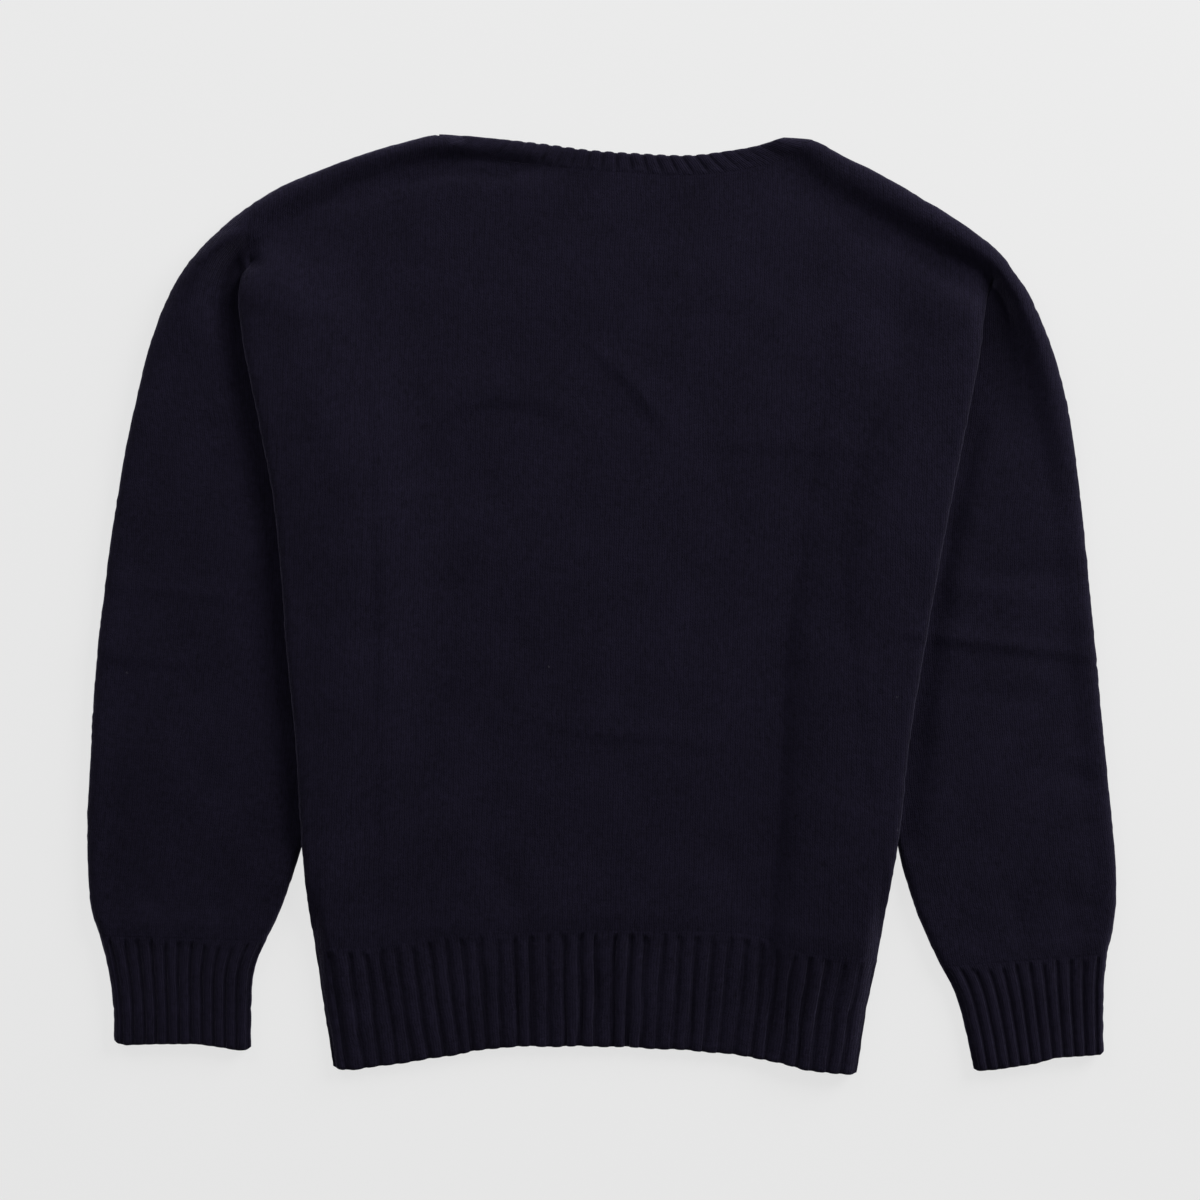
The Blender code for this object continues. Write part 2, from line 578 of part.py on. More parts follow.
def band(group, name, colour):
    """Neckband: a ring of one ply, upper along the back, lower in front."""
    half = SEAM / 2
    back_seam = beside(smooth(NECK_BACK_SEAM, step=2.0), half)
    back_free = smooth(NECK_BACK_FREE, step=2.0)
    front_seam = beside(smooth(NECK_FRONT_SEAM, step=2.0), half)
    front_free = smooth(NECK_FRONT_FREE, step=2.0)
    columns = np.array(NECK_COLUMNS, float)
    stops = (columns - columns[0]) / (columns[-1] - columns[0])
    stops = np.concatenate(((0.004, 0.012), stops[1:-1], (0.988, 0.996)))
    rings = []

    def fold(seam_point, free_point):
        p = np.array([seam_point + (free_point - seam_point) * f
                      for f in (0.02, 0.5, 1.0)])
        return np.column_stack((p, stack(p) / 2))

    rings.append(fold(back_seam[0], back_free[0]))
    for level, seam, free, at in ((1.0, back_seam, back_free, stops),
                                  (-1.0, front_seam, front_free,
                                   stops[::-1])):
        if level < 0:
            rings.append(fold(back_seam[-1], back_free[-1]))
        s, e = along(seam, at), along(free, at)
        for a, b in zip(s, e):
            p = np.array([a, (a + b) / 2, b])
            h = stack(p)
            d = folds(p, (EDGE_LEFT, EDGE_RIGHT))
            z = h / 2 * (1 + level * crown(d, h))
            z += level * corner_room(p)
            rings.append(np.column_stack((p, np.where(z < 0.02, 0.0, z))))
    verts = np.vstack(rings)
    n = len(rings)
    faces = []
    for i in range(n):
        k = (i + 1) % n
        for j in range(2):
            faces.append((i * 3 + j, k * 3 + j, k * 3 + j + 1, i * 3 + j + 1))
    return cloth(group, name, verts, faces, colour)


def mirrored(offsets, total):
    return tuple(total - o for o in reversed(offsets))


def main():
    for obj in list(bpy.data.objects):
        bpy.data.objects.remove(obj, do_unlink=True)
    group = collection()
    navy = (0.0065, 0.0060, 0.0115, 1.0)
    navy_rib = (0.0060, 0.0055, 0.0105, 1.0)

    columns = SIDE_COLUMNS + NECK_COLUMNS + mirrored(SIDE_COLUMNS, CHEST)

    panel(group, "back_panel", NECK_BACK_SEAM, True, columns, TOP_ROWS, navy)
    panel(group, "front_panel", NECK_FRONT_SEAM, False, columns, TOP_ROWS,
          navy)
    hem_rib(group, "hem_rib_back", True, columns, navy_rib)
    hem_rib(group, "hem_rib_front", False, columns, navy_rib)
    tube(group, "sleeve_left", section_rows(SLEEVE_LEFT, shift=-0.2),
         (EDGE_LEFT, INNER_LEFT), navy, True)
    tube(group, "sleeve_right", section_rows(SLEEVE_RIGHT, shift=0.2),
         (EDGE_RIGHT, INNER_RIGHT), navy, False)
    tube(group, "cuff_rib_left", section_rows(CUFF_LEFT, gap=SEAM),
         (EDGE_LEFT, INNER_LEFT), navy_rib, True)
    tube(group, "cuff_rib_right", section_rows(CUFF_RIGHT, gap=SEAM),
         (EDGE_RIGHT, INNER_RIGHT), navy_rib, False)
    band(group, "neckband_rib", navy_rib)


main()
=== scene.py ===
"""Looks for the rib-trimmed knit pullover, laid flat with its back up.

Sizes are in millimetres, as in the part, and become metres when a mesh is
made.  Each piece is a thin shell on its solid's form: an open surface, worked
out from the same outlines and heights on a fine grid, with a Solidify wall.
Ribs, creases and the yarn's fuzz are added here.
"""

import math

import bpy
import numpy as np
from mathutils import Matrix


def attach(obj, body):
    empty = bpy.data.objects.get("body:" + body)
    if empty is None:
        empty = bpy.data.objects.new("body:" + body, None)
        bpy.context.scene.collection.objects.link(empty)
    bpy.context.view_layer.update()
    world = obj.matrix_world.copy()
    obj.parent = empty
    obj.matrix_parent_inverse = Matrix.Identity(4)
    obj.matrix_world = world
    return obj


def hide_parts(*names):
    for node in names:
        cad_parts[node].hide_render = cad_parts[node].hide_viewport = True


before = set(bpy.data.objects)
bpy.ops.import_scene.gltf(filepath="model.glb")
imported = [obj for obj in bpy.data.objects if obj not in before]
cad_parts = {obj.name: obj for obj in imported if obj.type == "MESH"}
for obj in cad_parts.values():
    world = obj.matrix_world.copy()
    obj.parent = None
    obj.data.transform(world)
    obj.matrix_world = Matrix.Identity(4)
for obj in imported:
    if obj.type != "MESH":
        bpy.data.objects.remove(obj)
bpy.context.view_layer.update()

MM = 0.001

# ---- sizes shared with the part, mm
WALL = 2.2
STACK = 6.6
STACK_MIN = 5.0
LIFT = 7.2
LIFT_REST = 7.0
LIFT_RUN = 24.0
BRIDGE_RUN = 70.0, 46.0
SLEEVE_PUFF = 0.8
CHEST = 485.0
LENGTH = 490.0
UNDERARM_ROW = 31.0
NECK_LEFT, NECK_RIGHT = 128.0, 370.0

# ---- knit, mm
WALE_BODY, COURSE_BODY = 3.15, 2.35
WALE_SLEEVE, COURSE_SLEEVE = 2.75, 2.1
RIB_HEM = 10.05
RIB_CUFF = 7.7
RIB_NECK = 8.7


def table(columns, rows):
    names = columns.split()
    data = np.array(rows, float)
    return {name: data[:, i] for i, name in enumerate(names)}


# ---- outlines in plan, as in the part
SHOULDER_LEFT = table("x y", [
    (-91.0, 305.2), (-105.3, 306.2), (-131.3, 300.3), (-157.3, 292.5),
    (-183.3, 282.8), (-209.3, 271.7), (-233.4, 256.1)])
SHOULDER_RIGHT = table("x y", [
    (119.0, 304.2), (136.5, 302.6), (154.7, 293.2), (180.7, 280.2),
    (206.7, 265.2), (232.7, 249.0), (252.2, 234.6)])
SIDE_LEFT = table("x y", [
    (-228.2, 223.6), (-232.7, 217.8), (-235.3, 209.3), (-236.0, 198.2),
    (-233.3, 172.2), (-223.0, 120.2), (-213.2, 68.2), (-208.0, 16.2),
    (-204.1, -35.8), (-198.9, -87.8), (-195.0, -152.8), (-190.5, -198.2),
    (-186.6, -223.0), (-180.7, -263.2), (-174.8, -301.6)])
SIDE_RIGHT = table("x y", [
    (254.2, 208.7), (250.6, 200.8), (248.3, 185.2), (245.7, 165.8),
    (237.2, 120.2), (226.8, 68.2), (217.1, 16.2), (208.0, -35.8),
    (199.6, -87.8), (192.4, -152.8), (184.6, -198.2), (179.4, -228.8),
    (172.2, -263.2), (165.8, -305.5)])
SLEEVE_LEFT = table("outer_x outer_y inner_x inner_y", [
    (-233.4, 256.1, -228.3, 224.0), (-247.0, 245.1, -228.2, 219.8),
    (-261.3, 230.8, -229.8, 214.0), (-271.7, 217.8, -230.4, 205.5),
    (-279.5, 204.8, -227.0, 190.0), (-287.3, 187.9, -220.0, 178.0),
    (-295.1, 165.8, -209.3, 160.6), (-301.6, 139.8, -197.6, 132.0),
    (-308.1, 110.5, -183.3, 93.0), (-314.0, 78.0, -176.2, 58.5),
    (-320.5, 35.8, -174.8, 29.2), (-323.7, 9.8, -176.2, -6.5),
    (-327.6, -22.8, -179.4, -48.8), (-330.9, -61.8, -183.3, -78.0),
    (-332.8, -97.5, -188.5, -113.8), (-334.8, -136.5, -193.7, -150.2),
    (-334.8, -159.2, -198.3, -167.1), (-332.2, -198.2, -210.0, -200.2),
    (-326.9, -214.5, -218.4, -217.8)])
SLEEVE_RIGHT = table("outer_x outer_y inner_x inner_y", [
    (252.2, 234.6, 253.4, 209.6), (258.7, 228.8, 253.0, 206.0),
    (267.8, 216.5, 249.6, 199.8), (276.9, 202.8, 245.0, 190.0),
    (284.7, 186.6, 239.5, 178.0), (292.5, 167.1, 231.0, 158.6),
    (300.3, 139.8, 221.0, 134.0), (305.5, 113.8, 210.0, 113.8),
    (310.7, 74.8, 194.4, 78.0), (314.6, 39.0, 183.3, 32.5),
    (318.5, -3.3, 179.4, -9.8), (321.8, -35.8, 180.7, -48.8),
    (325.0, -71.5, 183.3, -78.0), (328.3, -104.0, 186.6, -110.5),
    (331.5, -136.5, 189.8, -136.5), (333.8, -162.5, 193.7, -162.5),
    (334.8, -182.0, 198.2, -180.1), (333.4, -204.8, 208.0, -208.0),
    (328.6, -226.2, 220.3, -234.7)])
CUFF_LEFT = table("outer_x outer_y inner_x inner_y", [
    (-326.9, -214.5, -218.4, -217.8), (-321.1, -237.2, -226.2, -237.2),
    (-317.9, -263.2, -228.2, -263.2), (-317.5, -285.4, -228.2, -289.2)])
CUFF_RIGHT = table("outer_x outer_y inner_x inner_y", [
    (328.6, -226.2, 220.3, -234.7), (326.6, -247.0, 228.8, -250.2),
    (326.3, -269.8, 235.3, -271.1), (326.6, -292.5, 242.1, -303.6)])
NECK_BACK_SEAM = table("x y", [
    (-105.3, 306.2), (-97.5, 298.4), (-85.8, 293.8), (-66.3, 289.2),
    (-27.3, 284.7), (11.7, 281.4), (57.2, 279.5), (89.7, 282.8),
    (115.7, 289.2), (128.7, 296.4), (136.5, 302.6)])
NECK_BACK_FREE = table("x y", [
    (-91.0, 305.2), (-66.3, 302.9), (-37.1, 299.7), (-7.8, 295.8),
    (21.4, 293.8), (57.2, 292.5), (80.0, 295.1), (99.5, 298.4),
    (119.0, 304.2)])
NECK_FRONT_SEAM = table("x y", [
    (-105.3, 306.2), (-100.8, 286.0), (-85.8, 261.3), (-53.3, 237.2),
    (10.4, 223.0), (71.5, 236.0), (109.2, 258.1), (128.7, 282.8),
    (136.5, 302.6)])
NECK_FRONT_FREE = table("x y", [
    (-91.0, 305.2), (-87.1, 289.2), (-72.8, 269.8), (-43.6, 249.0),
    (10.4, 236.0), (63.7, 247.7), (97.5, 267.2), (114.4, 287.9),
    (119.0, 304.2)])
HEM_SEAM = table("x y", [
    (-186.6, -223.0), (-137.8, -221.7), (-118.3, -216.5), (-58.5, -213.2),
    (-18.2, -211.2), (40.3, -211.9), (89.7, -213.2), (112.5, -218.4),
    (128.7, -224.9), (179.4, -228.8)])
HEM_FREE = table("x y", [
    (-174.8, -301.6), (-161.8, -302.2), (-129.3, -297.7), (-96.9, -292.5),
    (-64.4, -287.9), (-31.9, -287.3), (0.7, -287.3), (33.1, -288.6),
    (65.7, -290.6), (98.2, -294.4), (130.7, -301.6), (146.9, -304.2),
    (165.8, -305.5)])

# ---- raised roll along the outer edge, fuller than the part's
ROLL_LEFT = table("x y height width", [
    (-91.0, 305.2, 1.4, 14), (-131.3, 300.3, 2.6, 17),
    (-183.3, 282.8, 2.8, 20), (-215.0, 268.0, 4.0, 21),
    (-238.0, 252.0, 5.8, 21), (-262.0, 230.0, 6.0, 21),
    (-279.5, 204.8, 4.0, 24), (-295.1, 165.8, 2.2, 24),
    (-314.0, 78.0, 1.0, 20), (-334.8, -159.2, 0.8, 18),
    (-317.5, -285.4, 0.2, 14)])
ROLL_RIGHT = table("x y height width", [
    (119.0, 304.2, 1.8, 14), (136.5, 302.6, 3.0, 18),
    (154.7, 293.2, 3.6, 25), (180.7, 280.2, 4.3, 27),
    (232.7, 249.0, 5.5, 25), (262.0, 224.0, 5.8, 18.5),
    (284.7, 186.6, 5.8, 20), (300.3, 139.8, 3.8, 23),
    (310.7, 74.8, 1.4, 21), (333.8, -162.5, 0.9, 18),
    (326.6, -292.5, 0.2, 14)])

# ---- troughs in the upper plies: depth (a ridge is below 0) and half width
CREASES = [
    table("x y depth width", [          # inside the right shoulder's roll
        (102.0, 288.0, 0.0, 12), (123.5, 279.5, 1.1, 14),
        (155.0, 257.5, 1.7, 14), (176.5, 245.2, 2.1, 13.5),
        (198.5, 234.5, 2.5, 12.5), (223.0, 221.0, 3.0, 10.5),
        (239.0, 212.5, 3.5, 9), (251.0, 203.0, 4.0, 8.5),
        (257.0, 190.0, 4.8, 9.5), (259.5, 169.0, 4.4, 11),
        (266.0, 142.5, 2.6, 12), (274.0, 106.0, 1.2, 12),
        (280.0, 70.0, 0.0, 12)]),
    table("x y depth width", [          # inside the left shoulder's roll
        (-18.0, 283.0, 0.0, 7), (-47.0, 283.4, 1.6, 7.5),
        (-66.0, 284.2, 2.5, 8), (-86.0, 284.6, 2.8, 8.5),
        (-112.0, 283.8, 2.7, 9.5), (-131.0, 279.5, 2.2, 10),
        (-157.0, 272.0, 1.8, 11), (-177.0, 264.0, 1.5, 11),
        (-196.0, 253.5, 0.9, 10), (-212.0, 246.5, 0.0, 9)]),
    table("x y depth width", [          # bulge over the left underarm
        (-284.0, 196.0, 0.0, 7), (-273.0, 212.0, -1.8, 8),
        (-259.0, 226.5, -2.8, 8.5), (-243.0, 236.5, -2.6, 7.5),
        (-226.0, 240.5, -1.6, 6), (-209.0, 240.0, 0.0, 6)]),
    table("x y depth width", [          # roll along the top, left of the band
        (-160.0, 288.0, 0.0, 6), (-131.0, 294.5, -0.9, 6),
        (-100.0, 297.5, -1.7, 6), (-75.0, 297.0, -2.1, 6),
        (-55.0, 295.0, -1.8, 6), (-35.0, 293.0, -0.9, 6),
        (-16.0, 292.0, 0.0, 6)]),
    table("x y depth width", [
        (-78.0, -150.0, 0.0, 9), (-70.0, -172.0, 0.7, 9),
        (-56.0, -195.0, 0.7, 9), (-50.0, -212.0, 0.0, 9)]),
    table("x y depth width", [
        (40.0, -140.0, 0.0, 8), (75.0, -158.0, 0.5, 8),
        (95.0, -190.0, 0.5, 8), (98.0, -215.0, 0.0, 8)]),
    table("x y depth width", [
        (226.2, 16.3, 0.0, 7), (265.0, 20.0, 0.9, 7),
        (307.5, 21.5, 0.4, 7)]),
    table("x y depth width", [
        (222.0, -56.0, 0.0, 7), (270.0, -60.0, 0.7, 7),
        (322.0, -58.0, 0.3, 8)]),
    table("x y depth width", [
        (278.2, -104.0, 0.0, 7), (305.0, -112.0, 1.0, 7),
        (330.2, -118.0, 0.5, 8)]),
    table("x y depth width", [          # short tucks above the cuffs
        (-300.0, -176.0, 0.0, 6), (-292.0, -192.0, 0.9, 6),
        (-288.0, -208.0, 0.3, 5)]),
    table("x y depth width", [
        (-246.0, -180.0, 0.0, 6), (-250.0, -196.0, 0.9, 6),
        (-252.0, -210.0, 0.3, 5)]),
    table("x y depth width", [
        (262.0, -176.0, 0.0, 7), (268.0, -196.0, 1.0, 7),
        (272.0, -220.0, 0.3, 6)]),
    table("x y depth width", [
        (300.0, -170.0, 0.0, 7), (303.0, -194.0, 0.9, 7),
        (301.0, -216.0, 0.3, 6)]),
]
# ---- sharp creases: the cloth steps up on the left of the line's direction
# and settles again; run is how soon it has climbed, rest how far it stays up
STEPS = [
    table("x y height run rest", [      # left crease down the body
        (-155.0, 245.0, 0.3, 6, 20), (-152.8, 152.0, 0.9, 5, 20),
        (-150.0, 118.0, 1.3, 4, 24), (-147.0, 10.0, 1.7, 3.4, 26),
        (-146.0, -30.0, 1.6, 3.4, 26), (-146.0, -76.0, 1.2, 4, 24),
        (-145.0, -153.0, 0.9, 5, 20), (-145.0, -217.0, 0.5, 6, 20),
        (-141.0, -285.0, 0.0, 6, 20)]),
    table("x y height run rest", [      # slanting wrinkle at mid back
        (-15.0, 172.5, 0.0, 2.0, 10), (-10.0, 167.0, 0.7, 2.0, 10),
        (0.0, 156.5, 1.1, 2.0, 11), (12.0, 145.0, 1.3, 2.0, 12),
        (26.0, 128.5, 1.2, 2.0, 12), (36.0, 113.0, 0.8, 2.4, 12),
        (41.0, 105.0, 0.0, 3, 12)]),
    table("x y height run rest", [      # shallow arc left of it
        (-130.0, 91.0, 0.0, 7, 18), (-114.0, 107.0, 1.2, 7, 20),
        (-94.0, 121.0, 1.8, 7, 24), (-67.6, 128.0, 2.0, 7, 26),
        (-42.0, 124.0, 1.6, 7, 24), (-18.0, 115.0, 0.8, 7, 20),
        (0.0, 106.0, 0.0, 6, 16)]),
    table("x y height run rest", [      # faint one to its right
        (40.0, 106.0, 0.0, 5, 14), (60.0, 101.0, 0.5, 5, 16),
        (100.0, 99.0, 1.0, 5, 18), (138.0, 97.0, 0.8, 5, 18),
        (170.0, 91.0, 0.6, 5, 16), (205.0, 96.0, 0.0, 5, 14)]),
    table("x y height run rest", [      # faint one across the lower back
        (-50.0, -80.0, 0.0, 5, 16), (0.0, -89.0, 1.2, 5, 18),
        (44.0, -92.0, 1.2, 5, 18), (90.0, -103.0, 0.0, 6, 16)]),
    table("x y height run rest", [      # across the left sleeve
        (-332.0, 9.0, 0.5, 4, 12), (-300.0, 6.5, 0.8, 4, 12),
        (-265.0, 2.0, 0.8, 5, 12), (-238.0, -1.0, 0.4, 5, 12),
        (-220.0, -4.0, 0.0, 4, 10)]),
    table("x y height run rest", [
        (-332.0, -36.0, 0.9, 3, 12), (-300.0, -39.5, 1.2, 3, 12),
        (-262.0, -45.5, 0.8, 4, 12), (-232.0, -49.0, 0.0, 4, 12)]),
    table("x y height run rest", [      # across the right sleeve
        (205.0, -21.5, 1.2, 2.0, 9), (226.0, -25.5, 2.0, 2.0, 10),
        (262.0, -30.0, 2.1, 2.2, 10), (290.0, -34.0, 1.7, 2.6, 10),
        (316.0, -37.5, 1.0, 3, 9), (330.0, -39.5, 0.5, 3, 9)]),
    table("x y height run rest", [
        (214.0, 6.0, 0.0, 4, 10), (240.0, 4.0, 0.8, 4, 10),
        (275.0, 0.0, 0.7, 4, 10), (305.0, -4.0, 0.0, 4, 10)]),
]
# foot of the slope up to the right sleeve, as in the part
BRIDGE_FOOT = table("x y height run", [
    (152.0, 225.0, 0.0, 36), (146.3, 152.1, 2.8, 30), (138.5, 98.8, 4.4, 24),
    (128.7, 30.6, 5.6, 17), (121.6, -22.8, 6.2, 12.5),
    (118.5, -76.0, 6.6, 11), (116.5, -139.0, 7.0, 10.5),
    (112.5, -178.0, 6.6, 10.5), (109.2, -217.0, 5.4, 10.5),
    (107.3, -290.0, 3.0, 11)])
# the sleeves sink beside the body that lies on them
DIPS = [
    table("x y depth width", [
        (-233.0, 231.0, 0.0, 7), (-238.0, 222.0, 2.6, 8),
        (-241.0, 208.0, 4.2, 10), (-243.0, 190.0, 4.2, 12),
        (-240.0, 166.0, 3.8, 14), (-232.0, 121.0, 3.2, 15),
        (-222.0, 68.0, 3.0, 16), (-216.5, 16.0, 3.2, 17),
        (-213.0, -36.0, 3.6, 18), (-208.0, -88.0, 3.4, 18),
        (-202.0, -150.0, 2.0, 13)]),
    table("x y depth width", [
        (255.0, 205.0, 0.0, 6), (254.0, 192.0, 3.4, 9),
        (251.5, 168.0, 3.6, 11), (243.0, 121.0, 2.6, 10),
        (232.0, 68.0, 2.2, 8), (222.0, 16.0, 2.2, 8),
        (213.0, -36.0, 2.6, 9), (205.0, -88.0, 2.8, 9),
        (198.0, -150.0, 1.8, 9)]),
]

# ---- painted shade where the sleeve tucks in under the body and takes little light
PAINTED_PIT_SHADE = table("x y reach_x reach_y share", [
    (-241.0, 208.0, 8, 20, 1.1), (259.0, 186.0, 9, 26, 1.2),
    (266.0, 150.0, 9, 30, 0.5), (-238.0, 165.0, 9, 40, 0.4)])

# ---- broad, soft rises and hollows: centre, reach, height
SWELLS = table("x y reach_x reach_y height", [
    (-108.0, -150.0, 26, 30, 2.2), (20.0, 205.0, 120, 40, 0.6),
    (-172.0, 60.0, 20, 100, 0.7), (60.0, -40.0, 60, 80, 0.4),
    (-52.0, 36.0, 56, 44, 0.8), (180.0, 40.0, 26, 80, 0.5),
    (194.0, 180.0, 22, 24, -1.5), (-176.0, 210.0, 22, 20, -0.6),
    (-205.0, 262.0, 20, 12, 0.5), (-275.0, 90.0, 26, 70, 1.6),
    (-266.0, 192.0, 15, 34, 2.6), (276.0, 132.0, 12, 40, 0.8),
    (-290.0, -110.0, 26, 70, 1.0), (287.0, 60.0, 22, 70, 0.8),
    (290.0, -150.0, 26, 50, 1.0), (-256.0, -120.0, 22, 60, 0.5),
    (262.0, -90.0, 24, 50, 0.6), (0.0, -190.0, 90, 18, 0.5),
    (290.0, -8.0, 30, 13, 0.7), (262.0, -44.0, 34, 12, 0.6),
    (-285.0, -18.0, 32, 14, 0.6)])

# ---- troughs in the lower plies, where the cloth stands off the floor
UNDER_CREASES = [
    table("x y depth width", [
        (-120.0, 210.0, 0.0, 5), (-126.0, 120.0, 0.9, 5),
        (-118.0, 0.0, 1.3, 5), (-122.0, -120.0, 1.1, 5),
        (-116.0, -210.0, 0.0, 5)]),
    table("x y depth width", [
        (150.0, 190.0, 0.0, 6), (136.0, 90.0, 1.0, 6),
        (120.0, -40.0, 1.4, 6), (108.0, -150.0, 1.2, 6),
        (112.0, -214.0, 0.0, 6)]),
    table("x y depth width", [
        (-70.0, 200.0, 0.0, 7), (-30.0, 176.0, 1.1, 6),
        (20.0, 164.0, 1.2, 6), (70.0, 180.0, 0.8, 6),
        (100.0, 205.0, 0.0, 7)]),
    table("x y depth width", [
        (-60.0, 60.0, 0.0, 7), (-15.0, 38.0, 1.0, 6),
        (30.0, 20.0, 0.9, 6), (60.0, -10.0, 0.0, 7)]),
    table("x y depth width", [
        (-40.0, -120.0, 0.0, 7), (10.0, -130.0, 0.8, 7),
        (55.0, -122.0, 0.0, 7)]),
    table("x y depth width", [
        (150.0, 262.0, 0.0, 6), (185.0, 246.0, 1.2, 6),
        (222.0, 222.0, 1.0, 6), (240.0, 200.0, 0.0, 6)]),
    table("x y depth width", [
        (-130.0, 262.0, 0.0, 6), (-165.0, 250.0, 1.1, 6),
        (-205.0, 232.0, 0.9, 6), (-222.0, 214.0, 0.0, 6)]),
    table("x y depth width", [
        (-318.0, 30.0, 0.4, 5), (-285.0, 20.0, 1.1, 5),
        (-245.0, 6.0, 0.8, 5), (-215.0, 0.0, 0.0, 5)]),
    table("x y depth width", [
        (-322.0, -60.0, 0.0, 6), (-280.0, -70.0, 1.0, 6),
        (-235.0, -66.0, 0.0, 6)]),
    table("x y depth width", [
        (212.0, 4.0, 0.0, 5), (250.0, -8.0, 1.2, 5),
        (290.0, -18.0, 1.0, 5), (318.0, -22.0, 0.3, 5)]),
    table("x y depth width", [
        (226.0, -96.0, 0.0, 6), (270.0, -92.0, 0.9, 6),
        (318.0, -84.0, 0.2, 6)]),
]


# ---- plan geometry
def smooth(tab, x="x", y="y", step=4.0):
    """A smooth line through a table's points, about step apart."""
    p = np.column_stack((tab[x], tab[y]))
    p = np.vstack((2 * p[0] - p[1], p, 2 * p[-1] - p[-2]))
    out = []
    for a, b, c, d in zip(p[:-3], p[1:-2], p[2:-1], p[3:]):
        t0 = 0.0
        t1 = t0 + np.linalg.norm(b - a) ** 0.5
        t2 = t1 + np.linalg.norm(c - b) ** 0.5
        t3 = t2 + np.linalg.norm(d - c) ** 0.5
        n = max(2, int(np.ceil(np.linalg.norm(c - b) / step)))
        for t in np.linspace(t1, t2, n, endpoint=False):
            a1 = (t1 - t) / (t1 - t0) * a + (t - t0) / (t1 - t0) * b
            a2 = (t2 - t) / (t2 - t1) * b + (t - t1) / (t2 - t1) * c
            a3 = (t3 - t) / (t3 - t2) * c + (t - t2) / (t3 - t2) * d
            b1 = (t2 - t) / (t2 - t0) * a1 + (t - t0) / (t2 - t0) * a2
            b2 = (t3 - t) / (t3 - t1) * a2 + (t - t1) / (t3 - t1) * a3
            out.append((t2 - t) / (t2 - t1) * b1 + (t - t1) / (t2 - t1) * b2)
    out.append(p[-2])
    return np.array(out)


def chain(*tabs):
    xs = np.concatenate([t["x"][(1 if i else 0):] for i, t in enumerate(tabs)])
    ys = np.concatenate([t["y"][(1 if i else 0):] for i, t in enumerate(tabs)])
    return {"x": xs, "y": ys}


def side_of(tab, side):
    return {"x": tab[side + "_x"], "y": tab[side + "_y"]}


def lengths(line):
    return np.concatenate(([0.0], np.cumsum(
        np.linalg.norm(np.diff(line, axis=0), axis=1))))


def near(line, p, chunk=4096):
    """Distance from points to a line, the place along it, and its side."""
    if len(p) > chunk:
        parts = [near(line, p[i:i + chunk]) for i in range(0, len(p), chunk)]
        return tuple(np.concatenate(x) for x in zip(*parts))
    a, b = line[:-1], line[1:]
    ab = b - a
    ax = p[:, None, 0] - a[None, :, 0]
    ay = p[:, None, 1] - a[None, :, 1]
    size = (ab * ab).sum(1)[None]
    k = np.clip((ax * ab[None, :, 0] + ay * ab[None, :, 1]) / size, 0, 1)
    gx = ax - k * ab[None, :, 0]
    gy = ay - k * ab[None, :, 1]
    dist = gx * gx + gy * gy
    i = dist.argmin(1)
    n = np.arange(len(p))
    s = lengths(line)
    place = s[i] + k[n, i] * (s[i + 1] - s[i])
    turn = ab[i, 0] * ay[n, i] - ab[i, 1] * ax[n, i]
    return np.sqrt(dist[n, i]), place, np.where(turn >= 0, 1.0, -1.0)


def along(line, f):
    s = lengths(line)
    f = np.asarray(f, float) * s[-1]
    return np.column_stack((np.interp(f, s, line[:, 0]),
                            np.interp(f, s, line[:, 1])))


def ease(t):
    t = np.clip(t, 0, 1)
    return t * t * (3 - 2 * t)


LATTICE = np.random.default_rng(11).standard_normal((6, 96, 96))


def noise(p, cell, layer):
    """Soft random field over the plan, about -1 to 1."""
    q = np.asarray(p) / cell + 17.3
    i = np.floor(q).astype(int)
    t = q - i
    t = t * t * (3 - 2 * t)
    g = LATTICE[layer % 6]
    n = g.shape[0]
    x0, y0 = i[:, 0] % n, i[:, 1] % n
    x1, y1 = (x0 + 1) % n, (y0 + 1) % n
    top = g[x0, y0] * (1 - t[:, 0]) + g[x1, y0] * t[:, 0]
    low = g[x0, y1] * (1 - t[:, 0]) + g[x1, y1] * t[:, 0]
    return (top * (1 - t[:, 1]) + low * t[:, 1]) * 0.7


EDGE_LEFT = smooth(chain(SHOULDER_LEFT, side_of(SLEEVE_LEFT, "outer"),
                         side_of(CUFF_LEFT, "outer")))
EDGE_RIGHT = smooth(chain(SHOULDER_RIGHT, side_of(SLEEVE_RIGHT, "outer"),
                          side_of(CUFF_RIGHT, "outer")))
FOLD_LEFT = smooth(SIDE_LEFT)
FOLD_RIGHT = smooth(SIDE_RIGHT)
INNER_LEFT = smooth(chain(side_of(SLEEVE_LEFT, "inner"),
                          side_of(CUFF_LEFT, "inner")))
INNER_RIGHT = smooth(chain(side_of(SLEEVE_RIGHT, "inner"),
                           side_of(CUFF_RIGHT, "inner")))
ARMHOLE_LEFT = np.array([(-233.4, 256.1), (-228.2, 223.6)])
ARMHOLE_RIGHT = np.array([(252.2, 234.6), (254.2, 208.7)])
BORDER_LEFT = np.vstack((ARMHOLE_LEFT[:1], FOLD_LEFT))
BORDER_RIGHT = np.vstack((ARMHOLE_RIGHT[:1], FOLD_RIGHT))
CREASE_LINES = [smooth(c, step=6.0) for c in CREASES]
DIP_LINES = [smooth(c, step=6.0) for c in DIPS]
UNDER_LINES = [smooth(c, step=6.0) for c in UNDER_CREASES]
STEP_LINES = [smooth(c, step=4.0) for c in STEPS]
BRIDGE_LINE = smooth(BRIDGE_FOOT)


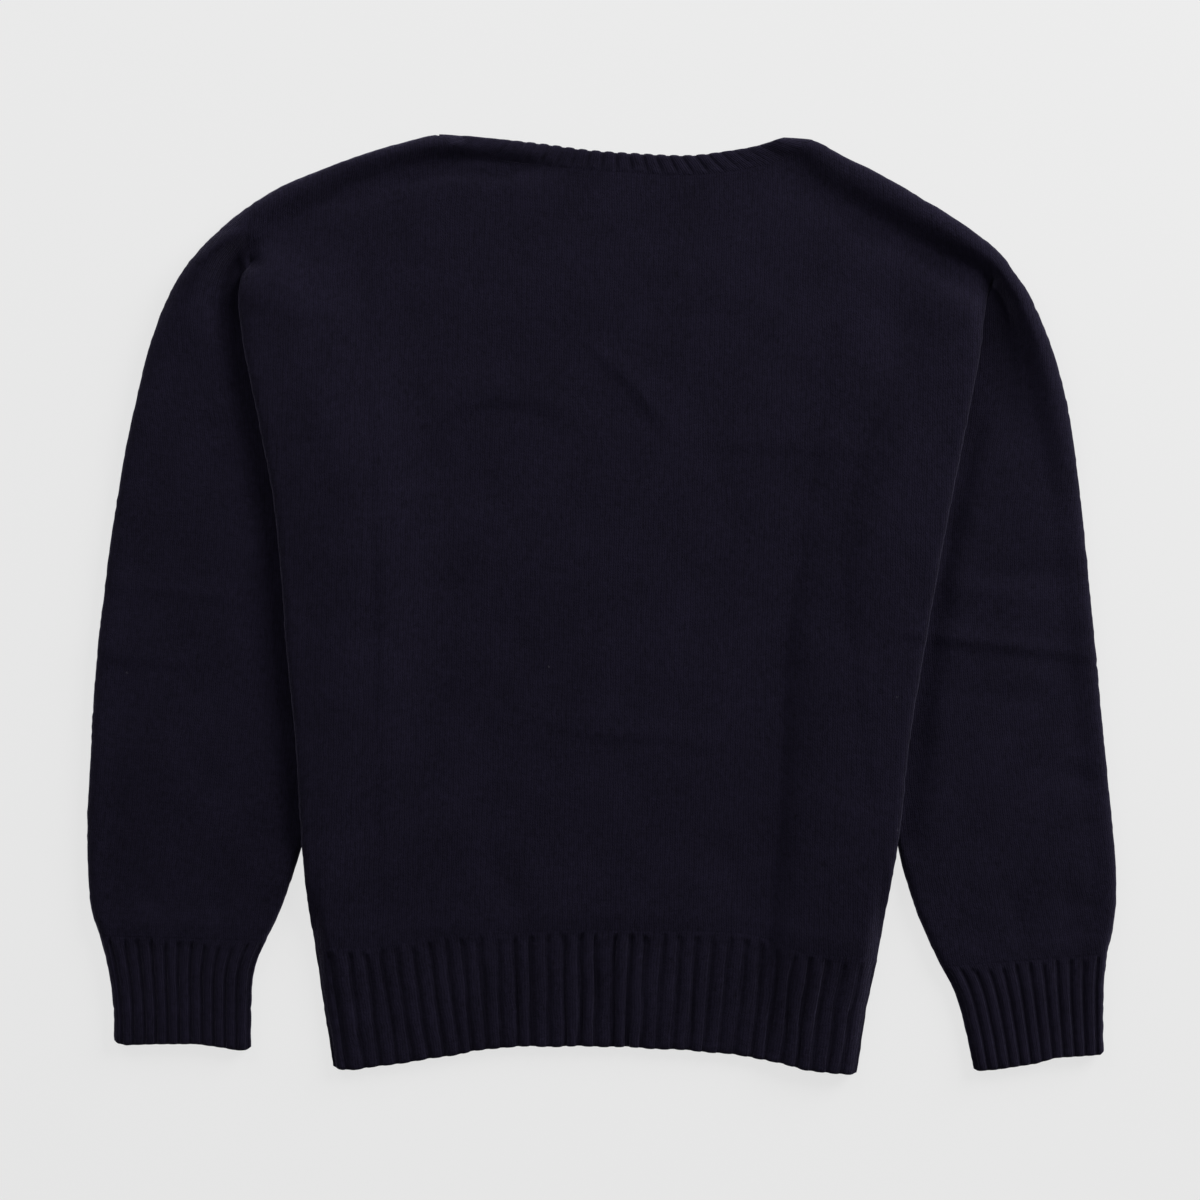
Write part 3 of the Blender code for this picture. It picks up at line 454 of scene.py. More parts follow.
# ---- heights
def troughs(p, lines, tables):
    """Depth of a set of troughs at each plan point."""
    out = np.zeros(len(p))
    for line, rows in zip(lines, tables):
        reach = rows["width"].max() * 2.8
        low, high = line.min(0) - reach, line.max(0) + reach
        at = np.flatnonzero(((p > low) & (p < high)).all(1))
        if not len(at):
            continue
        d, place, _ = near(line, p[at])
        stops = near(line, np.column_stack((rows["x"], rows["y"])))[1]
        depth = np.interp(place, stops, rows["depth"])
        width = np.interp(place, stops, rows["width"])
        width = width * (1 + 0.2 * noise(p[at], 30, 4))
        out[at] += depth * np.exp(-(d / width) ** 2)
    return out


def steps(p):
    """Height of the sharp creases at each plan point."""
    out = np.zeros(len(p))
    for line, rows in zip(STEP_LINES, STEPS):
        reach = rows["rest"].max() * 2.4
        low, high = line.min(0) - reach, line.max(0) + reach
        at = np.flatnonzero(((p > low) & (p < high)).all(1))
        if not len(at):
            continue
        q = p[at] + np.column_stack((noise(p[at], 24, 1),
                                     noise(p[at], 24, 2))) * 0.9
        d, place, turn = near(line, q)
        stops = near(line, np.column_stack((rows["x"], rows["y"])))[1]
        height, run, rest = (np.interp(place, stops, rows[c])
                             for c in ("height", "run", "rest"))
        t = np.maximum(d * turn, 0)
        out[at] += height * (1 - np.exp(-t / run)) * np.exp(-(t / rest) ** 2)
    return out


def stack(p, sleeve=False):
    """Height of the two plies over each plan point, without the lift."""
    h = np.full(len(p), STACK)
    for edge, roll in ((EDGE_LEFT, ROLL_LEFT), (EDGE_RIGHT, ROLL_RIGHT)):
        d, place, _ = near(edge, p)
        stops = near(edge, np.column_stack((roll["x"], roll["y"])))[1]
        height = np.interp(place, stops, roll["height"])
        width = np.interp(place, stops, roll["width"])
        h += height * (1 - ease((d - 0.36 * width) / (0.68 * width)))
    for border, outside in ((BORDER_LEFT, -1.0), (BORDER_RIGHT, 1.0)):
        d, _, turn = near(border, p)
        h += SLEEVE_PUFF * ease((d * turn * outside - 2) / 18)
    h -= troughs(p, CREASE_LINES, CREASES)
    h += steps(p)
    if sleeve:
        seam = np.minimum(near(ARMHOLE_LEFT, p)[0], near(ARMHOLE_RIGHT, p)[0])
        h -= troughs(p, DIP_LINES, DIPS) * ease(seam / 10)
    for x, y, rx, ry, z in zip(*(SWELLS[c] for c in (
            "x", "y", "reach_x", "reach_y", "height"))):
        h += z * np.exp(-((p[:, 0] - x) / rx) ** 2 - ((p[:, 1] - y) / ry) ** 2)
    h += 0.26 * noise(p, 46, 0) + 0.16 * noise(p, 19, 1)
    h += 0.07 * noise(p, 8, 2)
    return np.maximum(h, STACK_MIN - 0.4 * sleeve)


def under(p):
    """How far the lower ply stands off what it lies on."""
    rise = troughs(p, UNDER_LINES, UNDER_CREASES)
    rise += np.maximum(0.25 * noise(p, 38, 3) - 0.05, 0)
    return np.minimum(rise, 1.7)


def lift(p):
    f = np.zeros(len(p))
    for inner, pit, inward in ((INNER_LEFT, FOLD_LEFT[0], 1.0),
                               (INNER_RIGHT, FOLD_RIGHT[0], -1.0)):
        d, _, turn = near(inner, p)
        beyond = d * turn * inward
        below = pit[1] - p[:, 1]
        f += ((1 - ease((beyond - LIFT_REST) / LIFT_RUN))
              * ease(below / 20.0) * (0.7 + 0.3 * ease((below - 14) / 60)))
    return LIFT * f


def bridge(p):
    """How much further the upper ply stands up than the lower one."""
    f = np.zeros(len(p))
    for inner, pit, inward, run in (
            (INNER_LEFT, FOLD_LEFT[0], 1.0, BRIDGE_RUN[0]),
            (INNER_RIGHT, FOLD_RIGHT[0], -1.0, BRIDGE_RUN[1])):
        d, _, turn = near(inner, p)
        beyond = d * turn * inward
        f += ((1 - ease((beyond - LIFT_REST) / run))
              * ease((pit[1] + 20 - p[:, 1]) / 48))
    d, place, turn = near(BRIDGE_LINE, p)
    stops = near(BRIDGE_LINE, np.column_stack((BRIDGE_FOOT["x"],
                                               BRIDGE_FOOT["y"])))[1]
    height = np.interp(place, stops, BRIDGE_FOOT["height"])
    run = np.interp(place, stops, BRIDGE_FOOT["run"])
    foot = height * (1 - np.exp(-np.maximum(d * turn, 0) / run))
    more = np.maximum(np.maximum(LIFT * f, foot) - lift(p), 0)
    seam = np.minimum(near(ARMHOLE_LEFT, p)[0], near(ARMHOLE_RIGHT, p)[0])
    return more * ease(folds(p, BODY_FOLDS) / 11) * ease(seam / 9)


def soft_sides(p):
    """The upper ply's fall towards the body's folded sides."""
    d = folds(p, (FOLD_LEFT, FOLD_RIGHT))
    top = np.minimum(near(ARMHOLE_LEFT, p)[0], near(ARMHOLE_RIGHT, p)[0])
    return 0.8 * np.exp(-d / 8.0) * ease(top / 14)


def crown(d, h):
    r = h * 0.75
    k = 1 - np.clip(d / r, 0, 1)
    return np.sqrt(np.clip(1 - k * k, 0, 1))


def folds(p, lines):
    return np.min([near(line, p)[0] for line in lines], axis=0)


BODY_FOLDS = (EDGE_LEFT, EDGE_RIGHT, FOLD_LEFT, FOLD_RIGHT)


# ---- grids
def graded(total, fine=0.3, coarse=2.7, ratio=1.3, both=True):
    """Stops from 0 to total, close together at the start, or both ends."""
    reach = total / 2 if both else total
    out, step = [0.0], fine
    while out[-1] + step < reach - 0.5 * coarse:
        out.append(out[-1] + step)
        step = min(step * ratio, coarse)
    if not both:
        return np.array(out + [total])
    middle = total - 2 * out[-1]
    n = max(1, int(round(middle / coarse)))
    mid = list(out[-1] + middle * np.arange(1, n) / n)
    return np.array(out + mid + [total - o for o in reversed(out)])


def grid_faces(rows, cols, ring=False):
    i, j = np.meshgrid(np.arange(rows - 1),
                       np.arange(cols if ring else cols - 1), indexing="ij")
    k = (j + 1) % cols
    return np.stack((i * cols + j, i * cols + k, (i + 1) * cols + k,
                     (i + 1) * cols + j), axis=-1).reshape(-1, 4)


def coons(left, right, low, high, u, v):
    uu, vv = np.meshgrid(u, v)
    uu, vv = uu[..., None], vv[..., None]
    v1 = v[:, None]
    bow_left = left - ((1 - v1) * low[0] + v1 * high[0])
    bow_right = right - ((1 - v1) * low[-1] + v1 * high[-1])
    return ((1 - vv) * low[None] + vv * high[None]
            + (1 - uu) ** 4 * bow_left[:, None] + uu ** 4 * bow_right[:, None])


def two_part(first, second, split, f):
    f = np.asarray(f, float)
    a = along(first, np.clip(f / split, 0, 1))
    b = along(second, np.clip((f - split) / (1 - split), 0, 1))
    return np.where((f <= split)[:, None], a, b)


def run_across(grid, first):
    """Distance over the cloth across each row of a grid, from column first,
    without the rows' own slant in plan."""
    d = np.diff(grid, axis=1)
    s = np.sqrt(d[..., 0] ** 2 + d[..., 2] ** 2)
    s = np.concatenate((np.zeros((len(grid), 1)), np.cumsum(s, axis=1)), axis=1)
    return s - s[:, first:first + 1]


def run_down(grid):
    d = np.diff(grid, axis=0)
    s = np.sqrt(d[..., 1] ** 2 + 0.3 * d[..., 2] ** 2)
    return np.concatenate((np.zeros((1, grid.shape[1])),
                           np.cumsum(s, axis=0)), axis=0)


def make(name, verts, quads, u, v, painted_shade, material, near_fold,
         wall=WALL, ring_u=None):
    """A shell from an open surface: mesh, knit coordinates and wall."""
    mesh = bpy.data.meshes.new(f"{name}_knit")
    mesh.vertices.add(len(verts))
    mesh.vertices.foreach_set("co", (verts * MM).astype(np.float32).ravel())
    mesh.loops.add(quads.size)
    mesh.loops.foreach_set("vertex_index", quads.astype(np.int32).ravel())
    mesh.polygons.add(len(quads))
    mesh.polygons.foreach_set("loop_start",
                              np.arange(0, quads.size, 4, dtype=np.int32))
    mesh.polygons.foreach_set("loop_total",
                              np.full(len(quads), 4, dtype=np.int32))
    mesh.update(calc_edges=True)
    mesh.validate()
    at = np.zeros(len(mesh.loops), np.int32)
    mesh.loops.foreach_get("vertex_index", at)
    uv = np.column_stack((u.ravel()[at], v.ravel()[at]))
    if ring_u is not None:
        # the last column of faces of a ring runs on instead of going back
        cols, end = ring_u
        face = np.repeat(np.arange(len(quads)), 4)
        wrap = ((face % cols) == cols - 1) & ((at % cols) == 0)
        uv[wrap, 0] = end[at[wrap] // cols]
    knit = mesh.uv_layers.new(name="knit")
    knit.uv.foreach_set("vector", uv.astype(np.float32).ravel())
    # the form map's first channel carries the painted shade
    form = mesh.uv_layers.new(name="form")
    depth = np.column_stack((painted_shade.ravel()[at], np.zeros(len(at))))
    form.uv.foreach_set("vector", depth.astype(np.float32).ravel())
    mesh.shade_smooth()
    used = np.zeros(len(mesh.loops), np.int32)
    mesh.loops.foreach_get("edge_index", used)
    open_edges = np.bincount(used, minlength=len(mesh.edges)) == 1
    sharp = mesh.attributes.new("sharp_edge", "BOOLEAN", "EDGE")
    sharp.data.foreach_set("value", open_edges)
    obj = bpy.data.objects.new(f"{name}_knit", mesh)
    bpy.context.scene.collection.objects.link(obj)
    group = obj.vertex_groups.new(name="wall")
    share = 0.5 + 0.5 * ease(near_fold / 4.0)
    levels = np.round(share * 20).astype(int)
    for level in np.unique(levels):
        group.add([int(i) for i in np.flatnonzero(levels == level)],
                  level / 20.0, "REPLACE")
    shell = obj.modifiers.new("wall", "SOLIDIFY")
    shell.vertex_group = "wall"
    shell.thickness = wall * MM
    shell.offset = -1.0
    shell.use_quality_normals = True
    obj.data.materials.append(material)
    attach(obj, "root")
    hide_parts(name)
    return obj


def turned(quads):
    return quads[:, ::-1]


def rib_wave(phase, wide=0.72):
    """Height of a 2x1 rib, 0 in the valley to 1 on the ridge."""
    f = phase - np.floor(phase)
    on = np.clip(f / wide, 0, 1)
    ridge = np.sin(np.pi * on) ** 0.5
    dip = 0.1 * np.exp(-((on - 0.5) / 0.1) ** 2)
    return np.where(f < wide, ridge - dip, 0.0)


RIB_STOPS = np.array([0.0, 0.025, 0.08, 0.17, 0.27, 0.36, 0.45, 0.55, 0.64,
                      0.695, 0.72, 0.86])


def rib_columns(count, start):
    """Phases of the grid lines across so many ribs."""
    phases = (np.arange(-1, count + 2)[:, None] + RIB_STOPS[None]).ravel()
    phases = phases[(phases > start + 0.02) & (phases < start + count - 0.02)]
    return np.concatenate(([start], phases, [start + count]))


def tab_noise(values, seed):
    """One fixed random number for each whole number."""
    table_ = np.random.default_rng(seed).standard_normal(512)
    return table_[np.floor(values).astype(int) % 512]


# ---- materials
def nodes_of(mat):
    mat.use_nodes = True
    tree = mat.node_tree
    return tree, tree.nodes["Principled BSDF"]


class Graph:
    """Short names for the nodes used below."""

    def __init__(self, tree):
        self.tree = tree

    def put(self, kind, **settings):
        node = self.tree.nodes.new(kind)
        for key, value in settings.items():
            setattr(node, key, value)
        return node

    def link(self, a, b):
        self.tree.links.new(a, b)

    def math(self, how, a, b=None, c=None, clamp=False):
        node = self.put("ShaderNodeMath", operation=how, use_clamp=clamp)
        for i, value in enumerate((a, b, c)):
            if value is None:
                continue
            if isinstance(value, (int, float)):
                node.inputs[i].default_value = value
            else:
                self.link(value, node.inputs[i])
        return node.outputs[0]

    def noise(self, vector, scale, detail=2.0, rough=0.5):
        node = self.put("ShaderNodeTexNoise")
        node.inputs["Scale"].default_value = scale
        node.inputs["Detail"].default_value = detail
        node.inputs["Roughness"].default_value = rough
        self.link(vector, node.inputs["Vector"])
        return node.outputs["Fac"]

    def ramp(self, value, low, high, a=0.0, b=1.0):
        node = self.put("ShaderNodeMapRange", interpolation_type="SMOOTHSTEP")
        node.inputs["From Min"].default_value = low
        node.inputs["From Max"].default_value = high
        node.inputs["To Min"].default_value = a
        node.inputs["To Max"].default_value = b
        self.link(value, node.inputs["Value"])
        return node.outputs["Result"]

    def mix(self, factor, a, b):
        node = self.put("ShaderNodeMix", data_type="RGBA")
        for socket, value in ((node.inputs[0], factor), (node.inputs[6], a),
                              (node.inputs[7], b)):
            if isinstance(value, (int, float, tuple)):
                socket.default_value = value
            else:
                self.link(value, socket)
        return node.outputs[2]


def wool(name, deep, pale, stitch_depth, fuzz_depth, streak):
    """Brushed wool: V stitches in knit coordinates, loose fibres and lint."""
    mat = bpy.data.materials.new(name)
    tree, shader = nodes_of(mat)
    g = Graph(tree)
    knit = g.put("ShaderNodeUVMap", uv_map="knit").outputs["UV"]
    # the form map's first channel says how much shade is painted into the
    # colour
    form = g.put("ShaderNodeUVMap", uv_map="form").outputs["UV"]
    place = g.put("ShaderNodeTexCoord").outputs["Object"]
    painted_shade = g.put("ShaderNodeSeparateXYZ")
    g.link(form, painted_shade.inputs[0])
    painted_shade = painted_shade.outputs[0]

    # the stitches wander a little from their rows
    warp = g.put("ShaderNodeTexNoise")
    warp.inputs["Scale"].default_value = 90.0
    warp.inputs["Detail"].default_value = 2.0
    g.link(place, warp.inputs["Vector"])
    shift = g.put("ShaderNodeVectorMath", operation="MULTIPLY_ADD")
    g.link(warp.outputs["Color"], shift.inputs[0])
    shift.inputs[1].default_value = (0.9, 1.1, 0.0)
    g.link(knit, shift.inputs[2])
    split = g.put("ShaderNodeSeparateXYZ")
    g.link(shift.outputs[0], split.inputs[0])
    across = g.math("FRACT", split.outputs[0])
    q = g.math("ABSOLUTE", g.math("SUBTRACT", across, 0.5))
    q = g.math("MULTIPLY", q, 2.0)
    leg = g.math("SUBTRACT", 1.0, g.math(
        "MULTIPLY", g.math("ABSOLUTE", g.math("SUBTRACT", q, 0.42)), 1.72))
    leg = g.math("POWER", g.math("MAXIMUM", leg, 0.0), 0.7)
    course = g.math("FRACT", g.math("ADD", split.outputs[1],
                                    g.math("MULTIPLY", q, -0.6)))
    bead = g.math("SUBTRACT", 1.0, g.math(
        "MULTIPLY", g.math("ABSOLUTE", g.math("SUBTRACT", course, 0.5)), 2.0))
    bead = g.math("POWER", g.math("MAXIMUM", bead, 0.0), 0.5)
    stitch = g.math("MULTIPLY", leg, g.math(
        "MULTIPLY_ADD", bead, 0.5, 0.5))

    # yarn that is thicker and thinner along its way: streaks down the wales
    long = g.put("ShaderNodeVectorMath", operation="MULTIPLY")
    g.link(shift.outputs[0], long.inputs[0])
    long.inputs[1].default_value = (1.25, 0.42, 1.0)
    streaks = g.noise(long.outputs[0], 1.0, 3.0, 0.6)
    fine = g.noise(place, 2600.0, 3.0, 0.65)
    hair = g.put("ShaderNodeTexNoise")
    hair.inputs["Scale"].default_value = 420.0
    hair.inputs["Detail"].default_value = 4.0
    hair.inputs["Roughness"].default_value = 0.7
    hair.inputs["Distortion"].default_value = 3.0
    g.link(place, hair.inputs["Vector"])
    strands = g.math("ABSOLUTE", g.math("SUBTRACT", hair.outputs["Fac"], 0.5))
    strands = g.ramp(strands, 0.0, 0.07, 1.0, 0.0)
    blotch = g.noise(place, 30.0, 3.0, 0.55)
    clump = g.noise(place, 330.0, 3.0, 0.6)

    height = g.math("MULTIPLY", stitch, stitch_depth)
    height = g.math("MULTIPLY_ADD", streaks, stitch_depth * 0.9, height)
    height = g.math("MULTIPLY_ADD", clump, fuzz_depth * 1.3, height)
    height = g.math("MULTIPLY_ADD", strands, fuzz_depth * 0.4, height)
    height = g.math("MULTIPLY_ADD", fine, fuzz_depth * 0.35, height)
    bump = g.put("ShaderNodeBump")
    bump.inputs["Strength"].default_value = 1.0
    bump.inputs["Distance"].default_value = 0.001
    g.link(height, bump.inputs["Height"])
    g.link(bump.outputs["Normal"], shader.inputs["Normal"])

    # tone: 0.5 is the yarn's own colour; the stitches' legs are painted lighter
    # and the gaps between them darker, painted shade of the knit's relief
    tone = g.math("MULTIPLY_ADD", stitch, 0.34, 0.30)
    tone = g.math("MULTIPLY_ADD", g.math("SUBTRACT", streaks, 0.5), streak,
                  tone)
    tone = g.math("MULTIPLY_ADD", g.math("SUBTRACT", clump, 0.5), 0.85, tone)
    tone = g.math("MULTIPLY_ADD", strands, 0.16, tone)
    tone = g.math("MULTIPLY_ADD", g.math("SUBTRACT", blotch, 0.5), 0.45, tone)
    # painted shade: the tone is darkened by up to 42 % where painted_shade is
    # set
    tone = g.math("MULTIPLY", tone, g.math("MULTIPLY_ADD", painted_shade, -0.42, 1.0),
                  clamp=True)
    colour = g.mix(tone, deep, pale)
    # here and there a pale fibre
    drift = g.put("ShaderNodeVectorMath", operation="MULTIPLY_ADD")
    g.link(hair.outputs["Color"], drift.inputs[0])
    drift.inputs[1].default_value = (0.004, 0.004, 0.004)
    g.link(place, drift.inputs[2])
    speck = g.put("ShaderNodeTexVoronoi", feature="F1")
    speck.inputs["Scale"].default_value = 62.0
    speck.inputs["Randomness"].default_value = 1.0
    g.link(drift.outputs[0], speck.inputs["Vector"])
    pick = g.put("ShaderNodeSeparateColor")
    g.link(speck.outputs["Color"], pick.inputs[0])
    rare = g.ramp(pick.outputs[0], 0.965, 0.975)
    dot = g.ramp(speck.outputs["Distance"], 0.02, 0.05, 1.0, 0.0)
    lint = g.math("MULTIPLY", g.math("MULTIPLY", rare, dot), 0.55)
    colour = g.mix(lint, colour, (0.075, 0.070, 0.085, 1.0))
    g.link(colour, shader.inputs["Base Color"])
    shader.inputs["Roughness"].default_value = 0.95
    shader.inputs["Specular IOR Level"].default_value = 0.05
    shader.inputs["Sheen Weight"].default_value = 0.16
    shader.inputs["Sheen Roughness"].default_value = 0.4
    shader.inputs["Sheen Tint"].default_value = (0.72, 0.66, 1.0, 1.0)
    return mat


JERSEY = wool("wool_jersey", (0.0018, 0.0014, 0.0036, 1.0),
              (0.0111, 0.0093, 0.0210, 1.0), 0.22, 0.13, 0.8)
RIB = wool("wool_rib", (0.0018, 0.0014, 0.0036, 1.0),
           (0.0118, 0.0099, 0.0222, 1.0), 0.22, 0.14, 0.8)


def ragged(plan, d):
    """Small unevenness of the outline, where the courses turn over."""
    p = plan.reshape(-1, 2)
    k = 0.24 * (1 - ease(d / 5.0))
    p = p + np.column_stack((noise(p, 3.4, 5) * k, noise(p, 3.4, 3) * k))
    return p.reshape(plan.shape)


# ---- body panels
def body_grid(neck_seam, upper, coarse):
    u_stops = graded(CHEST, 0.28, coarse)
    v_stops = graded(LENGTH, 0.28, 2.7, both=False)
    u, v = u_stops / CHEST, 1 - v_stops / LENGTH
    # grid lines through the neck's two corners and the underarms
    split = 1 - UNDERARM_ROW / LENGTH
    for target in (NECK_LEFT / CHEST, NECK_RIGHT / CHEST):
        u[np.abs(u - target).argmin()] = target
    v[np.abs(v - split).argmin()] = split
    n0, n1 = NECK_LEFT / CHEST, NECK_RIGHT / CHEST
    hem = smooth(HEM_SEAM)
    side_l = np.vstack((hem[0], FOLD_LEFT[FOLD_LEFT[:, 1] > hem[0, 1] + 1]
                        [::-1]))
    side_r = np.vstack((hem[-1], FOLD_RIGHT[FOLD_RIGHT[:, 1]
                                            > hem[-1, 1] + 1][::-1]))
    seam = smooth(neck_seam, step=2.0)
    top_l = smooth(SHOULDER_LEFT)
    top_l = top_l[top_l[:, 0] <= -105.3][::-1]
    top_r = smooth(SHOULDER_RIGHT)
    top_r = top_r[top_r[:, 0] >= 136.5]
    left = two_part(side_l, ARMHOLE_LEFT[::-1], split, v)
    right = two_part(side_r, ARMHOLE_RIGHT[::-1], split, v)
    low = along(hem, u)
    high = np.where(
        (u <= n0)[:, None], along(top_l, np.clip(u / n0, 0, 1)),
        np.where((u >= n1)[:, None],
                 along(top_r, np.clip((u - n1) / (1 - n1), 0, 1)),
                 along(seam, np.clip((u - n0) / (n1 - n0), 0, 1))))
    plan = coons(left, right, low, high, u, v)
    flat = plan.reshape(-1, 2)
    h, f = stack(flat), lift(flat)
    d = folds(flat, BODY_FOLDS)
    c = crown(d, h)
    if upper:
        # just above the hem the jersey swells, where the rib draws it in
        drop = near(hem, flat)[0]
        z = f + h / 2 * (1 + c) + bridge(flat) - soft_sides(flat) * c
        z += 0.45 * np.exp(-((drop - 9) / 7.0) ** 2) * ease(d / 20)
    else:
        rise = np.minimum(under(flat), np.maximum(h - 2 * WALL - 0.2, 0))
        z = f + h / 2 * (1 - c) + rise * ease((d - 4) / 8)
    plan = ragged(plan, d)
    grid = np.concatenate((plan, z.reshape(*plan.shape[:2], 1)), axis=2)
    return grid, d


def body_panel(name, neck_seam, upper, coarse):
    grid, d = body_grid(neck_seam, upper, coarse)
    middle = int(np.abs(grid[len(grid) // 2, :, 0]).argmin())
    u = run_across(grid, middle) / WALE_BODY
    v = run_down(grid) / COURSE_BODY
    quads = grid_faces(*grid.shape[:2])
    if upper:
        quads = turned(quads)
    # painted shade along the right fold where it crosses the sleeve, dimming
    # the light its rounded edge catches
    flat = grid[..., :2].reshape(-1, 2)
    painted_fold_shade = (1.5 * np.exp(-(near(FOLD_RIGHT, flat)[0] / 1.3) ** 2)
             * ease((flat[:, 1] + 170) / 25)).reshape(u.shape)
    return make(name, grid.reshape(-1, 3), quads, u, -v, painted_fold_shade,
                JERSEY, d)


# ---- hem
def hem_rib(name, upper):
    count, long = 34, 77.0
    first = -0.14 if upper else 0.36
    phase = rib_columns(count, first)
    u = (phase - phase[0]) / count
    drops = np.array([-0.6, 0, 0.5, 1.2, 2.2, 3.4, 5.0, 7.0]
                     + list(np.arange(9.5, 73, 3.0))
                     + [74.2, 75.4, 76.2, 76.7, 77.0])
    v = np.clip(drops / long, 0, 1)
    seam, free = smooth(HEM_SEAM), smooth(HEM_FREE)

    def side(line, top, bottom):
        inner = line[(line[:, 1] < top[1] - 1) & (line[:, 1] > bottom[1] + 1)]
        return np.vstack((top, inner, bottom))

    left = along(side(FOLD_LEFT, seam[0], free[0]), v)
    right = along(side(FOLD_RIGHT, seam[-1], free[-1]), v)
    plan = coons(left, right, along(seam, u), along(free, u), u, v)
    # where the seam steps down at the left, the ribs lean more
    plan[..., 0] += 5.0 * np.exp(-((u - 0.19) / 0.08) ** 2)[None] * (
        v[:, None] - 0.5)
    slip = 0.045 * noise(plan.reshape(-1, 2) * (1, 0.35), 7, 2)
    wide = 0.70 + 0.05 * noise(plan.reshape(-1, 2) * (1, 0.3), 11, 4)
    wave = rib_wave(phase[None, :] + slip.reshape(plan.shape[:2]),
                    wide.reshape(plan.shape[:2]))
    near_side = folds(plan.reshape(-1, 2),
                      (FOLD_LEFT, FOLD_RIGHT)).reshape(wave.shape)
    # ribs a little uneven in width, with small rounded ends
    inside = ease(near_side / 8) * ease(drops / 20)[:, None]
    plan[..., 0] += 0.5 * inside * noise(
        plan.reshape(-1, 2) * (1, 0.3), 9, 5).reshape(wave.shape)
    plan[..., 1] -= ((wave - 0.6) * 0.35 * inside
                     + 0.25 * np.sin(phase * 1.9)[None]) * (
        v[:, None] ** 16) - 1.6 * np.exp(-(near_side / 2.0) ** 2) * (
        v[:, None] ** 40)
    flat = plan.reshape(-1, 2)
    h, f = stack(flat), lift(flat)
    d = folds(flat, BODY_FOLDS)
    c = crown(d, h).reshape(wave.shape)
    h = h.reshape(wave.shape)
    f = f.reshape(wave.shape)
    rib = np.floor(phase + 0.14)
    late = 0.2 + 2.2 * np.abs(tab_noise(rib + 40, 3))
    start = ease((drops[:, None] - late[None]) / 4.5)
    deep = (1 + 0.16 * noise(flat * (1, 0.5), 10, 3)).reshape(wave.shape)
    deep = deep * (1 + 0.14 * tab_noise(rib + 17, 8))[None]
    amp = 1.15 * deep
    valley = (1 - wave) * start * amp * ease(near_side / 3.0 + 0.1)
    lip = np.interp(drops, (74.6, 76.0, 76.7, 77.0), (0, 0.25, 0.7, 1.2))
    if upper:
        more = (bridge(flat) - soft_sides(flat) * c.ravel()).reshape(c.shape)
        z = f + h / 2 * (1 + c) + more - valley
        z += (0.18 * tab_noise(rib + 90, 5)[None] * wave
              * ease(near_side / 8) * start)
        z -= lip[:, None] * c
        z[0] -= 0.4
    else:
        z = f + h / 2 * (1 - c) + valley * 0.85 + lip[:, None] * c
        z[0] += 0.4
        z = np.maximum(z, 0.0)
    plan = ragged(plan, d)
    plan[0, :, 1] += 0.6
    grid = np.concatenate((plan, z[..., None]), axis=2)
    u_knit = (phase * 3.0)[None, :] * np.ones((len(v), 1)) + 0.9
    quads = grid_faces(*grid.shape[:2])
    if upper:
        quads = turned(quads)
    # painted shade: the rib valleys are darkened in colour
    painted_shade = (1 - wave) ** 1.2 * start * deep
    return make(name, grid.reshape(-1, 3), quads, u_knit,
                -run_down(grid) / 2.3, painted_shade, RIB, d, wall=1.8)


# ---- sleeves and cuffs
def section_lines(tab, stations):
    outer, inner = smooth(side_of(tab, "outer")), smooth(side_of(tab, "inner"))
    rows_o = near(outer, np.column_stack((tab["outer_x"], tab["outer_y"])))[1]
    rows_i = near(inner, np.column_stack((tab["inner_x"], tab["inner_y"])))[1]
    rows_o[0], rows_i[0] = 0.0, 0.0
    total = np.linspace(0, 1, len(rows_o))
    so = np.interp(stations, total, rows_o)
    si = np.interp(stations, total, rows_i)
    return (along(outer, so / lengths(outer)[-1]),
            along(inner, si / lengths(inner)[-1]))


